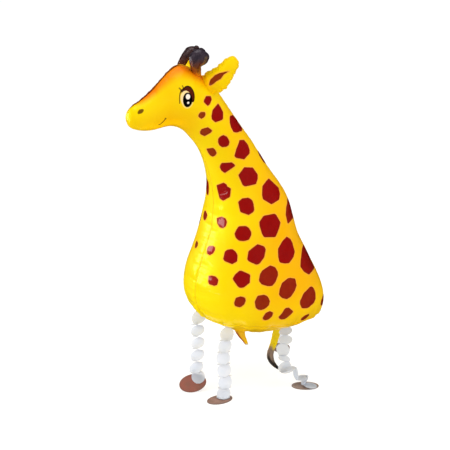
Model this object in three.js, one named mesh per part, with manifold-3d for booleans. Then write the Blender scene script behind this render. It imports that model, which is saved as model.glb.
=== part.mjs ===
// A walking-pet foil balloon: a spotted giraffe standing on four folded paper legs with card hooves.
// Millimetres, +Z up, the animal faces -Y and its left side is +X. The origin is on the floor,
// under the middle of the whole figure.
import * as THREE from 'three';
import { mergeVertices } from 'three/addons/utils/BufferGeometryUtils.js';
import Module from 'manifold-3d';

// ---------------------------------------------------------------- driving dimensions
const ORIGIN_Y = 11.4;                // the drawing below has its zero this far in front of the origin
const AIR = 0.4;                     // gap between pieces that are glued or rest on each other

// Envelope. Each station runs across the body from the front seam to the back seam:
// [front y, front z, back y, back z, half width, edge sharpness]
const BODY = [
  [-254, 691, -245, 749, 21, 1.25],
  [-218, 685, -204, 772, 29, 1.35],
  [-180, 688, -163, 800, 35, 1.35],
  [-151, 689, -130, 824, 45, 1.20],
  [-125, 680, -93, 815, 47, 1.10],
  [-103, 658, -51, 787, 49, 1.10],
  [-77, 623, 6, 720, 52, 1.20],
  [-48, 556, 74, 629, 68, 1.15],
  [-38, 490, 123, 555, 92, 1.05],
  [-43, 430, 156, 503, 119, 1.0],
  [-65, 363, 190, 403, 139, 1.0],
  [-87, 300, 229, 324, 165, 1.0],
  [-91, 258, 259, 266, 175, 1.0],
  [-79, 220, 270, 219, 168, 1.0],
  [-58, 197, 263, 180, 144, 1.0],
];
const MUZZLE_BULGE = 24;             // how far the nose bulges past its first station
const GUSSET_DEPTH = 52;             // how far the bottom gusset hangs below the last station
const GUSSET_ROUND = 1.9;            // 2 is a paraboloid, lower is more pointed
const BODY_AROUND = 36, BODY_ALONG = 40, NOSE_RINGS = 5, GUSSET_RINGS = 7;

// Ears: puffed leaves. Stations along the ear from its root: [u, lower edge v, upper edge v, half thickness]
const EAR = [
  [-20, -20, 20, 12],
  [4, -28, 28, 15],
  [20, -31, 24, 15],
  [36, -29, 19, 14],
  [50, -26, 17, 12],
  [64, -21, 15, 10],
  [78, -15, 10.5, 8],
  [89, -10, 4, 5],
];
const EAR_EDGE = 1.25, EAR_TIP = 5, EAR_AROUND = 20, EAR_ALONG = 14;
const EAR_LEFT = { root: [35, -62.6, 782], axis: [63.6, 29.9, 71.4], face: [0.531, -0.838, -0.122] };
const EAR_RIGHT = { root: [-35, -62.6, 782], axis: [-75, 25, 55], face: [-0.531, -0.838, -0.122] };

// Horns: short stems with a bulb that leans back. Stations as for the body, at x = +-HORN_X
const HORN_X = 28;
const HORN_LEFT = [
  [-110, 796, -85, 794, 12, 1],
  [-113, 815, -86, 811, 12.5, 1],
  [-117, 833, -88, 826, 13.5, 1],
  [-118, 847, -78, 829, 17, 1],
  [-113, 863, -67, 843, 20, 1],
  [-103, 871, -69, 857, 16, 1],
  [-93, 871, -79, 865, 8, 1],
];
const HORN_RIGHT = [
  [-113, 796, -96, 792, 9, 1],
  [-118, 820, -101, 816, 9.5, 1],
  [-113, 835, -95, 828, 10.5, 1],
  [-104, 848, -84, 838, 12, 1],
  [-92, 858, -72, 846, 14, 1],
  [-82, 863, -63, 853, 13, 1],
  [-75, 863, -63, 858, 8, 1],
];
const HORN_TIP = 4, HORN_AROUND = 16, HORN_ALONG = 14;

// Legs: a strip of paper discs joined by short necks, folded to and fro at every neck. The first disc
// lies under the belly at pad [x, y] and the last one on the hoof; drop is how far the rest hangs away from
// the pad, last is the share of a full rise left for the fold nearest the hoof. Angles are degrees about +Z from +X.
const DISC_D = 33, NECK_W = 11, NECK_L = 2.4, PAPER = 0.9, FOLD_LIFT = 1.2, DISC_STEPS = 6;
const LEGS = {
  leg_front_left: { pad: [49, -30], drop: [-1, -4, -7], hoof: 'hoof_front_left', on: [-4.5, 14], discs: 14, last: 1, azimuth: 140, sway: 16 },
  leg_front_right: { pad: [-56, -34], drop: [-4, -3, -8], hoof: 'hoof_front_right', on: [14, 16], discs: 12, last: 0.3, azimuth: -66, sway: 5 },
  leg_rear_right: { pad: [-74, 208], drop: [0, 0, 0], hoof: 'hoof_rear_right', on: [0, 2], discs: 12, last: 1, azimuth: -60, sway: 12 },
};
// The rear left leg has lost its even folds and trails outward; its fold points, and the bearing of each fold line
const TRAILING_LEG = [
  [62, 146, 122, 55], [80, 132, 106, 50], [75, 119, 77, 20], [83, 139, 57, -20], [89, 111, 38, 30],
  [102, 147, 47, -30], [117.6, 142.5, 18, -35], [117, 169, 25, -25], [129.5, 153, 7.5, -35],
];
const TRAILING_PAD = [93, 124], TRAILING_END = [150, 180, 3.7, -35];

// Hooves: oval cards. centre on the floor plan, how far the toe is turned, and for the tipped one its lean
const HOOF_LENGTH = 69, HOOF_WIDTH = 47, HOOF_T = 2.4, HOOF_STEPS = 36;
const HOOVES = {
  hoof_front_left: { at: [70, -65], toe: -90, lean: 0 },
  hoof_front_right: { at: [-19, -86], toe: 167, lean: 48, facing: -35 },
  hoof_rear_left: { at: [126, 161], toe: -125, lean: 0 },
  hoof_rear_right: { at: [-112, 268], toe: -38, lean: 0 },
};

// Tail: a flat strip. Rows down its length: [x, left y, left z, right y, right z]
const TAIL = [
  [0, 158, 141.5, 186, 141.5], [1, 156, 128, 184, 124], [5, 147, 108, 173, 102], [11, 137, 91, 161, 86],
  [18, 124.5, 76, 146, 69], [24, 115, 63, 137, 60], [29, 113.5, 52, 134, 49], [33, 119, 40, 136.5, 38],
  [36, 128, 30, 142, 29], [38.5, 140, 20.5, 149, 20], [40, 152, 14.5, 156.5, 14],
];
const TAIL_T = 1.6;

// Filling tab: the flat neck that the gas went in by, rows as for the tail
const TAB = [[44, -4, 166, 26, 160], [45, -1, 160, 29, 152], [46, 8, 145, 30, 142], [47, 20, 130, 34, 130], [48, 29, 117, 38, 116]];
const TAB_T = 1.2;

const wasm = await Module();
wasm.setup();

const V = (x, y, z) => new THREE.Vector3(x, y, z);

// ---------------------------------------------------------------- helpers
// Natural cubic spline through (knots[i], values[i])
function naturalSpline(knots, values) {
  const n = knots.length, m = new Array(n).fill(0), c = new Array(n).fill(0), d = new Array(n).fill(0);
  for (let i = 1; i < n - 1; i++) {
    const h0 = knots[i] - knots[i - 1], h1 = knots[i + 1] - knots[i];
    const r = 6 * ((values[i + 1] - values[i]) / h1 - (values[i] - values[i - 1]) / h0);
    const w = 2 * (h0 + h1) - h0 * c[i - 1];
    c[i] = h1 / w;
    d[i] = (r - h0 * d[i - 1]) / w;
  }
  for (let i = n - 2; i > 0; i--) m[i] = d[i] - c[i] * m[i + 1];
  return (t) => {
    let i = 0;
    while (i < n - 2 && t > knots[i + 1]) i++;
    const h = knots[i + 1] - knots[i], a = (knots[i + 1] - t) / h, b = (t - knots[i]) / h;
    return a * values[i] + b * values[i + 1] + ((a ** 3 - a) * m[i] + (b ** 3 - b) * m[i + 1]) * h * h / 6;
  };
}

// A closed skin through oval sections. Each station gives the two ends of the oval in the (y, z)
// plane, its half width in x and how sharply its two ends are pinched.
function loft(stations, { around, along, cap0, rings0, cap1, rings1, round1 = 0 }) {
  const knots = [0];
  for (let i = 1; i < stations.length; i++) {
    const [a, b] = [stations[i - 1], stations[i]];
    knots.push(knots[i - 1] + (Math.hypot(b[0] - a[0], b[1] - a[1]) + Math.hypot(b[2] - a[2], b[3] - a[3])) / 2);
  }
  const f = [0, 1, 2, 3, 4, 5].map((k) => naturalSpline(knots, stations.map((s) => s[k])));
  const at = (t) => f.map((g) => g(t));
  const end = knots[knots.length - 1];
  const rings = [];
  const ring = (s, shrink, out, dy, dz) => {
    const cy = (s[0] + s[2]) / 2, cz = (s[1] + s[3]) / 2, hy = (s[2] - s[0]) / 2, hz = (s[3] - s[1]) / 2;
    const pts = [];
    for (let j = 0; j < around; j++) {
      const a = (2 * Math.PI * j) / around, q = Math.sin(a), p = -Math.cos(a) * shrink;
      pts.push(V(s[4] * shrink * Math.sign(q) * Math.abs(q) ** s[5], cy + p * hy + out * dy, cz + p * hz + out * dz));
    }
    rings.push(pts);
  };
  const outward = (s, far) => {            // unit vector square to the section, pointing off the end
    const hy = s[2] - s[0], hz = s[3] - s[1], l = Math.hypot(hy, hz);
    const cy = (s[0] + s[2]) / 2 - (far[0] + far[2]) / 2, cz = (s[1] + s[3]) / 2 - (far[1] + far[3]) / 2;
    const [dy, dz] = [hz / l, -hy / l];
    return dy * cy + dz * cz > 0 ? [dy, dz] : [-dy, -dz];
  };
  const s0 = at(0), s1 = at(end);
  const d0 = outward(s0, at(end * 0.05)), d1 = outward(s1, at(end * 0.95));
  const pole = (s, out, d) => V(0, (s[0] + s[2]) / 2 + out * d[0], (s[1] + s[3]) / 2 + out * d[1]);
  for (let k = 1; k < rings0; k++) {
    const c = (k / rings0) * Math.PI / 2;
    ring(s0, Math.sin(c), cap0 * Math.cos(c), ...d0);
  }
  for (let k = 0; k <= along; k++) ring(at((end * k) / along), 1, 0, 0, 0);
  for (let k = 1; k < rings1; k++) {
    const c = (k / rings1) * Math.PI / 2, r = Math.cos(c);
    ring(s1, r, cap1 * (round1 ? 1 - r ** round1 : Math.sin(c)), ...d1);
  }
  const pos = [], idx = [];
  const push = (p) => pos.push(p.x, p.y, p.z);
  push(pole(s0, cap0, d0));
  rings.forEach((r) => r.forEach(push));
  push(pole(s1, cap1, d1));
  const v = (r, j) => 1 + r * around + (j % around), last = pos.length / 3 - 1;
  for (let j = 0; j < around; j++) {
    idx.push(0, v(0, j), v(0, j + 1));
    for (let r = 0; r < rings.length - 1; r++) {
      idx.push(v(r, j), v(r + 1, j), v(r + 1, j + 1), v(r, j), v(r + 1, j + 1), v(r, j + 1));
    }
    idx.push(v(rings.length - 1, j), last, v(rings.length - 1, j + 1));
  }
  const g = new THREE.BufferGeometry();
  g.setAttribute('position', new THREE.Float32BufferAttribute(pos, 3));
  g.setIndex(idx);
  return outwardFacing(g);
}

// Signed volume decides which way round the triangles run
function outwardFacing(g) {
  const p = g.getAttribute('position'), i = g.getIndex();
  let vol = 0;
  const a = V(0, 0, 0), b = V(0, 0, 0), c = V(0, 0, 0);
  for (let k = 0; k < i.count; k += 3) {
    a.fromBufferAttribute(p, i.getX(k)); b.fromBufferAttribute(p, i.getX(k + 1)); c.fromBufferAttribute(p, i.getX(k + 2));
    vol += a.dot(b.clone().cross(c));
  }
  if (vol < 0) {
    const arr = i.array;
    for (let k = 0; k < arr.length; k += 3) [arr[k + 1], arr[k + 2]] = [arr[k + 2], arr[k + 1]];
  }
  return g;
}

function toSolid(geometry) {
  const g = geometry.clone();
  for (const n of ['normal', 'uv']) if (g.getAttribute(n)) g.deleteAttribute(n);
  const m = mergeVertices(g, 1e-4);
  return new wasm.Manifold(new wasm.Mesh({
    numProp: 3,
    vertProperties: new Float32Array(m.getAttribute('position').array),
    triVerts: new Uint32Array(m.getIndex().array),
  }));
}

function toGeometry(solid) {
  const m = solid.getMesh();
  const g = new THREE.BufferGeometry();
  const pos = [];
  for (let k = 0; k < m.vertProperties.length; k += m.numProp) pos.push(...m.vertProperties.slice(k, k + 3));
  g.setAttribute('position', new THREE.Float32BufferAttribute(pos, 3));
  g.setIndex(Array.from(m.triVerts));
  return g;
}

// ---------------------------------------------------------------- envelope
const bodySkin = loft(BODY, {
  around: BODY_AROUND, along: BODY_ALONG, cap0: MUZZLE_BULGE, rings0: NOSE_RINGS,
  cap1: GUSSET_DEPTH, rings1: GUSSET_RINGS, round1: GUSSET_ROUND,
});

function ear({ root, axis, face }, flip) {
  const d = V(...axis).normalize();
  const n = V(...face).addScaledVector(d, -V(...face).dot(d)).normalize();
  const v = n.clone().cross(d).multiplyScalar(flip);
  // the leaf is drawn with u up the ear as "z", v across it as "y" and its thickness as "x"
  const g = loft(EAR.map(([u, lo, hi, t]) => [lo, u, hi, u, t, EAR_EDGE]), {
    around: EAR_AROUND, along: EAR_ALONG, cap0: 6, rings0: 3, cap1: EAR_TIP, rings1: 3,
  });
  const m = new THREE.Matrix4().makeBasis(n, v, d).setPosition(V(...root));
  g.applyMatrix4(m);
  return outwardFacing(g);
}

function horn(stations, x) {
  const g = loft(stations, { around: HORN_AROUND, along: HORN_ALONG, cap0: 4, rings0: 3, cap1: HORN_TIP, rings1: 3 });
  return g.translate(x, 0, 0);
}

const envelope = toSolid(bodySkin)
  .add(toSolid(ear(EAR_LEFT, 1)))
  .add(toSolid(ear(EAR_RIGHT, -1)))
  .add(toSolid(horn(HORN_LEFT, HORN_X)))
  .add(toSolid(horn(HORN_RIGHT, -HORN_X)));

// Lowest point of the belly over (x, y), with the outward normal there
const bellyProbe = new THREE.Mesh(bodySkin, new THREE.MeshBasicMaterial({ side: THREE.DoubleSide }));
function belly(x, y) {
  const hit = new THREE.Raycaster(V(x, y, -10), V(0, 0, 1)).intersectObject(bellyProbe)[0];
  const n = hit.face.normal.clone();
  return { p: hit.point, n: n.z > 0 ? n.negate() : n };
}

// ---------------------------------------------------------------- paper legs
// folds: the fold points from end to end; across: the direction of each fold line.
// Every stretch between two folds is one round disc, joined to the next by a short neck.
function paperStrip(folds, across) {
  const rows = [];
  const count = folds.length - 1;
  const dir = [], flat = [];
  for (let k = 0; k < count; k++) {
    dir.push(folds[k + 1].clone().sub(folds[k]).normalize());
    const w = across[k].clone().add(across[k + 1]).normalize();
    flat.push(dir[k].clone().cross(w).normalize());
  }
  for (let k = 0; k < count; k++) {
    const len = folds[k + 1].distanceTo(folds[k]), r = DISC_D / 2;
    for (let i = k === 0 ? 0 : 1; i <= DISC_STEPS; i++) {
      const a = (i / DISC_STEPS) * Math.PI, s = (len * (1 - Math.cos(a))) / 2;
      const e = (2 * s) / len - 1;
      const end = (k === 0 && i === 0) || (k === count - 1 && i === DISC_STEPS);
      const half = Math.max(end ? 3 : NECK_W / 2, r * Math.sqrt(Math.max(0, 1 - e * e)));
      const c = folds[k].clone().addScaledVector(dir[k], s);
      const w = across[k].clone().lerp(across[k + 1], i / DISC_STEPS);
      w.addScaledVector(dir[k], -w.dot(dir[k])).normalize();
      let n = dir[k].clone().cross(w).normalize(), t = PAPER / 2;
      if (i === DISC_STEPS && k < count - 1) {           // mitre at the fold
        const next = dir[k + 1].clone().cross(across[k + 1]).normalize();
        const m = n.clone().add(next);
        if (m.length() > 0.2) { m.normalize(); t /= Math.max(0.3, m.dot(n)); n = m; }
      }
      rows.push([
        c.clone().addScaledVector(w, half).addScaledVector(n, t),
        c.clone().addScaledVector(w, -half).addScaledVector(n, t),
        c.clone().addScaledVector(w, -half).addScaledVector(n, -t),
        c.clone().addScaledVector(w, half).addScaledVector(n, -t),
      ]);
    }
  }
  const pos = [], idx = [];
  rows.forEach((r) => r.forEach((p) => pos.push(p.x, p.y, p.z)));
  for (let k = 0; k < rows.length - 1; k++) {
    for (let j = 0; j < 4; j++) {
      const a = k * 4 + j, b = k * 4 + ((j + 1) % 4);
      idx.push(a, b, b + 4, a, b + 4, a + 4);
    }
  }
  const l = (rows.length - 1) * 4;
  idx.push(0, 2, 1, 0, 3, 2, l, l + 1, l + 2, l, l + 2, l + 3);
  const g = new THREE.BufferGeometry();
  g.setAttribute('position', new THREE.Float32BufferAttribute(pos, 3));
  g.setIndex(idx);
  return outwardFacing(g);
}

// ---------------------------------------------------------------- hooves
const rad = (deg) => (deg * Math.PI) / 180;
const bearing = (deg) => V(Math.cos(rad(deg)), Math.sin(rad(deg)), 0);

// Where each card lies: its centre, its toe and side directions and its upward normal
function hoofFrame({ at, toe, lean, facing = 0 }) {
  let n = V(0, 0, 1), t = bearing(toe);
  if (lean) {                               // tip the card so that its top looks towards "facing"
    n = bearing(facing).multiplyScalar(Math.sin(rad(lean))).add(V(0, 0, Math.cos(rad(lean))));
    const across = V(0, 0, 1).cross(bearing(facing)), up = n.clone().cross(across);
    const turn = rad(toe);
    t = across.clone().multiplyScalar(-Math.cos(turn)).addScaledVector(up, Math.sin(turn)).negate();
  }
  t.addScaledVector(n, -t.dot(n)).normalize();
  const side = n.clone().cross(t);
  // lowest point of the tipped oval touches the floor
  const drop = Math.hypot((HOOF_LENGTH / 2) * t.z, (HOOF_WIDTH / 2) * side.z);
  return { centre: V(at[0], at[1], drop), t, side, n };
}

function hoof(frame) {
  const outline = new THREE.Shape();
  for (let k = 0; k < HOOF_STEPS; k++) {
    const a = (2 * Math.PI * k) / HOOF_STEPS;
    const x = (HOOF_LENGTH / 2) * Math.cos(a), y = (HOOF_WIDTH / 2) * Math.sin(a);
    if (k) outline.lineTo(x, y); else outline.moveTo(x, y);
  }
  outline.closePath();
  const g = new THREE.ExtrudeGeometry(outline, { depth: HOOF_T, bevelEnabled: false });
  return g.applyMatrix4(new THREE.Matrix4().makeBasis(frame.t, frame.side, frame.n).setPosition(frame.centre));
}

const frames = {};
for (const [name, h] of Object.entries(HOOVES)) frames[name] = hoofFrame(h);

// ---------------------------------------------------------------- legs
const REACH = (DISC_D + NECK_L) / 2;      // from the middle of a disc to its fold

function bellyPad(x, y, towards) {
  const { p, n } = belly(x, y);
  const around = [];                        // the skin under the rim of the pad, which it has to clear
  for (let k = 0; k < 12; k++) around.push(belly(x + (DISC_D / 2) * Math.cos(rad(30 * k)), y + (DISC_D / 2) * Math.sin(rad(30 * k))));
  around.forEach((q) => n.addScaledVector(q.n, 0.5));
  n.normalize();
  const clear = Math.max(0, ...around.map((q) => q.p.clone().sub(p).dot(n)));
  const c = p.clone().addScaledVector(n, clear + AIR + PAPER / 2);
  const d = towards.clone().addScaledVector(n, -towards.dot(n)).normalize();
  return { free: c.clone().addScaledVector(d, -REACH), fold: c.clone().addScaledVector(d, REACH), line: n.clone().cross(d).normalize() };
}

function foldedLeg({ pad, drop, hoof, on, discs, last: crowd, azimuth, sway }) {
  const turn = (k) => azimuth + sway * Math.sin(k * 2.4);
  const side = (k) => (k % 2 ? -1 : 1);
  const g = (k) => bearing(turn(k)).multiplyScalar(side(k));
  const top = bellyPad(pad[0], pad[1], g(1));
  const f = frames[hoof];
  const seat = f.centre.clone().addScaledVector(f.n, HOOF_T + AIR + PAPER / 2);
  if (f.n.z < 0.99) {                       // across the slope and up the slope
    const up = V(0, 0, 1).addScaledVector(f.n, -f.n.z).normalize();
    seat.addScaledVector(up.clone().cross(f.n), on[0]).addScaledVector(up, on[1]);
  } else seat.add(V(on[0], on[1], 0));
  const last = g(discs - 1);
  if (f.n.z < 0.99) last.set(0, 0, 1);
  last.addScaledVector(f.n, -last.dot(f.n)).normalize();
  const footFold = seat.clone().addScaledVector(last, REACH).addScaledVector(f.n, FOLD_LIFT);
  const footFree = seat.clone().addScaledVector(last, -REACH);
  // middle line of the zigzag, and how far each fold swings from it
  const a = top.fold.clone().addScaledVector(g(1), -DISC_D / 2).add(V(...drop)), b = footFold.clone();
  const pitch = a.distanceTo(b) / (discs - 3 + crowd);
  const swing = 0.5 * Math.sqrt(Math.max(0, (2 * REACH) ** 2 - pitch ** 2));
  b.addScaledVector(g(discs - 1), -swing);
  const folds = [top.free], across = [top.line];
  for (let k = 1; k < discs; k++) {
    const p = a.clone().lerp(b, (k - 1) / (discs - 3 + crowd)).addScaledVector(g(k), swing);
    folds.push(k === 1 ? top.fold : k === discs - 1 ? footFold : p);
    across.push(k === 1 ? top.line.clone() : k === discs - 1 ? f.n.clone().cross(last) : bearing(turn(k) + 90));
  }
  folds.push(footFree);
  across.push(across[discs - 1].clone());
  for (let k = 1; k < across.length; k++) if (across[k].dot(across[k - 1]) < 0) across[k].negate();
  return paperStrip(folds, across);
}

function trailingLeg() {
  const first = V(...TRAILING_LEG[0].slice(0, 3));
  const c = belly(...TRAILING_PAD);
  const top = bellyPad(...TRAILING_PAD, first.clone().sub(c.p));
  const folds = [top.free, top.fold], across = [top.line, top.line.clone()];
  for (const [x, y, z, deg] of TRAILING_LEG) { folds.push(V(x, y, z)); across.push(bearing(deg)); }
  folds.push(V(...TRAILING_END.slice(0, 3)));
  across.push(bearing(TRAILING_END[3]));
  for (let k = 1; k < across.length; k++) if (across[k].dot(across[k - 1]) < 0) across[k].negate();
  return paperStrip(folds, across);
}

// ---------------------------------------------------------------- flat foil strips
function ribbon(rows, thickness) {
  const l = rows.map(([x, y, z]) => V(x, y, z)), r = rows.map(([x, , , y, z]) => V(x, y, z));
  const pos = [], idx = [];
  rows.forEach((_, k) => {
    const a = Math.max(0, k - 1), b = Math.min(rows.length - 1, k + 1);
    const along = l[b].clone().add(r[b]).sub(l[a]).sub(r[a]);
    const n = along.cross(r[k].clone().sub(l[k])).normalize().multiplyScalar(thickness / 2);
    for (const p of [l[k].clone().add(n), r[k].clone().add(n), r[k].clone().sub(n), l[k].clone().sub(n)]) pos.push(p.x, p.y, p.z);
  });
  for (let k = 0; k < rows.length - 1; k++) {
    for (let j = 0; j < 4; j++) {
      const a = k * 4 + j, b = k * 4 + ((j + 1) % 4);
      idx.push(a, b, b + 4, a, b + 4, a + 4);
    }
  }
  const e = (rows.length - 1) * 4;
  idx.push(0, 2, 1, 0, 3, 2, e, e + 1, e + 2, e, e + 2, e + 3);
  const g = new THREE.BufferGeometry();
  g.setAttribute('position', new THREE.Float32BufferAttribute(pos, 3));
  g.setIndex(idx);
  return outwardFacing(g);
}

// A strip that runs up into the belly is trimmed a little below the skin
const bellyTrim = toSolid(bodySkin.clone().translate(0, 0, -AIR));
const trimmed = (g) => toGeometry(toSolid(g).subtract(bellyTrim));

// ---------------------------------------------------------------- assembly
const group = new THREE.Group();
group.position.y = -ORIGIN_Y;
const paint = (color, roughness, metalness) => new THREE.MeshStandardMaterial({ color, roughness, metalness });
const addPiece = (name, geometry, material) => {
  const mesh = new THREE.Mesh(geometry, material);
  mesh.name = name;
  group.add(mesh);
};

addPiece('foil_envelope', toGeometry(envelope), paint(0xffc400, 0.3, 0.2));
addPiece('tail', trimmed(ribbon(TAIL, TAIL_T)), paint(0xe0b010, 0.35, 0.2));
addPiece('filling_tab', trimmed(ribbon(TAB, TAB_T)), paint(0xf2b400, 0.35, 0.2));
for (const [name, leg] of Object.entries(LEGS)) addPiece(name, foldedLeg(leg), paint(0xeef0f4, 0.8, 0));
addPiece('leg_rear_left', trailingLeg(), paint(0xe4e5e8, 0.8, 0));
for (const name of Object.keys(HOOVES)) addPiece(name, hoof(frames[name]), paint(0x8a4a3c, 0.75, 0));

export default group;
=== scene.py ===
# A walking-pet foil balloon: a spotted giraffe on four folded paper legs with card hooves.
# The drawing is in millimetres, +Z up, facing -Y, its left side +X; it is shifted and scaled to metres on the way out.
import math

import bpy
import numpy as np
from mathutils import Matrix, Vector
from mathutils.bvhtree import BVHTree


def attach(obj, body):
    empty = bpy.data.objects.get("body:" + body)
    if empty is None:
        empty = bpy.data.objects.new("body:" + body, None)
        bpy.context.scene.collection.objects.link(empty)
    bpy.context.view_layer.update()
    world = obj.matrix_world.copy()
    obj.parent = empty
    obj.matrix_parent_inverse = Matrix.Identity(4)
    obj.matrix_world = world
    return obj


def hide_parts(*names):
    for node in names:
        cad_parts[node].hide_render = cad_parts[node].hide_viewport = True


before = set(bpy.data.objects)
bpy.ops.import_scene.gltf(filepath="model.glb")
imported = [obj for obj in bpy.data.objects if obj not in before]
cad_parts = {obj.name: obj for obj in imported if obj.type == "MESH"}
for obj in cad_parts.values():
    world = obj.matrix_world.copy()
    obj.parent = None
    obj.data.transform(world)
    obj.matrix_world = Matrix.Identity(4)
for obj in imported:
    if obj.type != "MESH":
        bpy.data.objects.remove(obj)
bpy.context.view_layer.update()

scene = bpy.context.scene
ORIGIN_Y = 11.4

# ------------------------------------------------------------------ sizes of the envelope
# Stations across the body: front y, front z, back y, back z, half width, edge sharpness
BODY = [
    (-254, 688.5, -245, 749.5, 21, 1.25), (-218, 681.5, -204, 777, 29, 1.35), (-180, 684.5, -163, 812, 35, 1.35),
    (-151, 685, -130, 829, 45, 1.20), (-125, 675, -93, 815, 47, 1.10), (-104, 656, -51, 787, 49, 1.10),
    (-77, 623, 6, 720, 52, 1.20), (-48, 556, 74, 629, 68, 1.15), (-38, 490, 123, 555, 92, 1.05),
    (-43, 430, 156, 503, 119, 1.0), (-65, 363, 190, 403, 139, 1.0), (-87, 300, 229, 324, 165, 1.0),
    (-91, 258, 259, 266, 175, 1.0), (-79, 220, 270, 219, 168, 1.0), (-58, 197, 263, 180, 144, 1.0)]
MUZZLE_BULGE, GUSSET_DEPTH, GUSSET_ROUND = 24.0, 52.0, 1.9
RIM = 3.4                     # width of the heat-sealed rim
EAR = [(-20, -20, 20, 12), (4, -28, 28, 15), (20, -31, 24, 15), (36, -29, 19, 14), (50, -26, 17, 12),
       (64, -22, 16, 10), (75, -19.5, 14, 8), (83.5, -16, 10, 5)]
EARS = {"ear_left": ((35, -62.6, 782), (63.6, 29.9, 71.4), (0.531, -0.838, -0.122), 1),
        "ear_right": ((-35, -62.6, 782), (-75, 25, 55), (-0.531, -0.838, -0.122), -1)}
HORN_X = 28.0
HORNS = {      # side, how far the foot moves in to the seam and back, and its stations
    "horn_left": (1, -12, 8, [(-107, 799, -90, 797, 7, 1), (-112, 815, -88, 811, 10, 1), (-116, 832, -88, 824, 13, 1),
                              (-117, 845, -79, 828, 16, 1), (-111, 857, -68, 838, 18, 1), (-101, 864, -69, 850, 15, 1),
                              (-91, 864, -78, 858, 8, 1)]),
    "horn_right": (-1, 8, -4, [(-112, 799, -98, 795, 6, 1), (-115, 820, -98, 816, 9, 1), (-109, 834, -91, 826, 10, 1),
                               (-101, 846, -82, 836, 11.5, 1), (-91, 857, -71, 845, 13, 1), (-79, 863, -60, 852, 12, 1),
                               (-67, 862, -55, 856, 7, 1)])}


def ramp(x, a, b):
    t = np.clip((np.asarray(x, float) - a) / (b - a), 0, 1)
    return t * t * (3 - 2 * t)


# ------------------------------------------------------------------ lofting
def spline(knots, values):
    x, y = np.asarray(knots, float), np.asarray(values, float)
    n, h = len(x), np.diff(x)
    a = np.eye(n)
    b = np.zeros_like(y)
    for i in range(1, n - 1):
        a[i, i - 1], a[i, i], a[i, i + 1] = h[i - 1], 2 * (h[i - 1] + h[i]), h[i]
        b[i] = 6 * ((y[i + 1] - y[i]) / h[i] - (y[i] - y[i - 1]) / h[i - 1])
    m = np.linalg.solve(a, b)

    def at(t):
        t = np.atleast_1d(np.asarray(t, float))
        i = np.clip(np.searchsorted(x, t, side="right") - 1, 0, n - 2)
        w = h[i]
        p, q = ((x[i + 1] - t) / w), ((t - x[i]) / w)
        if y.ndim > 1:
            p, q, w = p[:, None], q[:, None], w[:, None]
        return p * y[i] + q * y[i + 1] + ((p ** 3 - p) * m[i] + (q ** 3 - q) * m[i + 1]) * w * w / 6
    return at


def knots_of(stations):
    s = np.asarray(stations, float)
    step = (np.hypot(*(s[1:, 0:2] - s[:-1, 0:2]).T) + np.hypot(*(s[1:, 2:4] - s[:-1, 2:4]).T)) / 2
    return np.concatenate([[0], np.cumsum(step)])


def grid(stations, ts, phi, cap0, c0, cap1, c1, round1=0.0, inset=0.0):
    """Rows of points round oval sections, with c0 and c1 the angles of the rows over the two end caps."""
    k = knots_of(stations)
    f = spline(k, stations)
    end = k[-1]

    def away(s, far):
        h = s[2:4] - s[0:2]
        d = np.array([h[1], -h[0]]) / np.hypot(*h)
        c = (s[0:2] + s[2:4] - far[0:2] - far[2:4]) / 2
        return d if d @ c > 0 else -d
    s0, s1 = f(0)[0], f(end)[0]
    d0, d1 = away(s0, f(end * 0.05)[0]), away(s1, f(end * 0.95)[0])
    b0 = max(cap0 - inset, 1.0)
    rows = [(s0, math.sin(c), b0 * math.cos(c), d0) for c in c0]
    rows += [(s, 1.0, 0.0, d0) for s in f(ts)]
    for c in c1:
        r = math.cos(c)
        rows.append((s1, r, cap1 * (1 - r ** round1 if round1 else math.sin(c)), d1))
    q, p = np.sin(phi), -np.cos(phi)
    out = np.zeros((len(rows), len(phi), 3))
    for i, (s, shrink, lift, d) in enumerate(rows):
        c, h = (s[0:2] + s[2:4]) / 2, (s[2:4] - s[0:2]) / 2
        h = h * max(0.15, 1 - inset / np.hypot(*h))
        out[i, :, 0] = s[4] * shrink * np.sign(q) * np.abs(q) ** s[5]
        out[i, :, 1] = c[0] + p * shrink * h[0] + lift * d[0]
        out[i, :, 2] = c[1] + p * shrink * h[1] + lift * d[1]
    pole0 = np.array([0, *((s0[0:2] + s0[2:4]) / 2 + b0 * d0)])
    pole1 = np.array([0, *((s1[0:2] + s1[2:4]) / 2 + cap1 * d1)])
    return out, pole0, pole1


def columns(half, pinch):
    """Angles round a section, closer together by the two seams."""
    s = np.arange(half) / half
    a = math.pi * (s - pinch * np.sin(2 * math.pi * s) / (2 * math.pi))
    return np.concatenate([a, a + math.pi])


def normals_of(g):
    n = np.cross(np.gradient(g, axis=0), np.roll(g, -1, 1) - np.roll(g, 1, 1))
    n /= np.maximum(np.linalg.norm(n, axis=2, keepdims=True), 1e-9)
    return -n if (n * (g - g.mean(1, keepdims=True))).sum() < 0 else n


def arc(g, axis):
    """Running length of a grid's lines along one axis, from 0."""
    d = np.linalg.norm(np.diff(g, axis=axis), axis=2)
    pad = [(0, 0), (0, 0)]
    pad[axis] = (1, 0)
    return np.cumsum(np.pad(d, pad), axis=axis)


def skin(g, pole0, pole1):
    """Vertices and faces of a closed skin over a grid and its two poles."""
    rows, cols = g.shape[:2]
    verts = np.concatenate([[pole0], g.reshape(-1, 3), [pole1]])
    a = 1 + np.arange(rows - 1)[:, None] * cols + np.arange(cols)[None]
    b = 1 + np.arange(rows - 1)[:, None] * cols + (np.arange(cols)[None] + 1) % cols
    quads = np.stack([a, a + cols, b + cols, b], -1).reshape(-1, 4)
    j = np.arange(cols)
    k = (j + 1) % cols
    last = 1 + (rows - 1) * cols
    tris = np.concatenate([np.stack([0 * j, 1 + j, 1 + k], -1),
                           np.stack([last + j, 0 * j + len(verts) - 1, last + k], -1)])
    return outward(verts, quads, tris)


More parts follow.
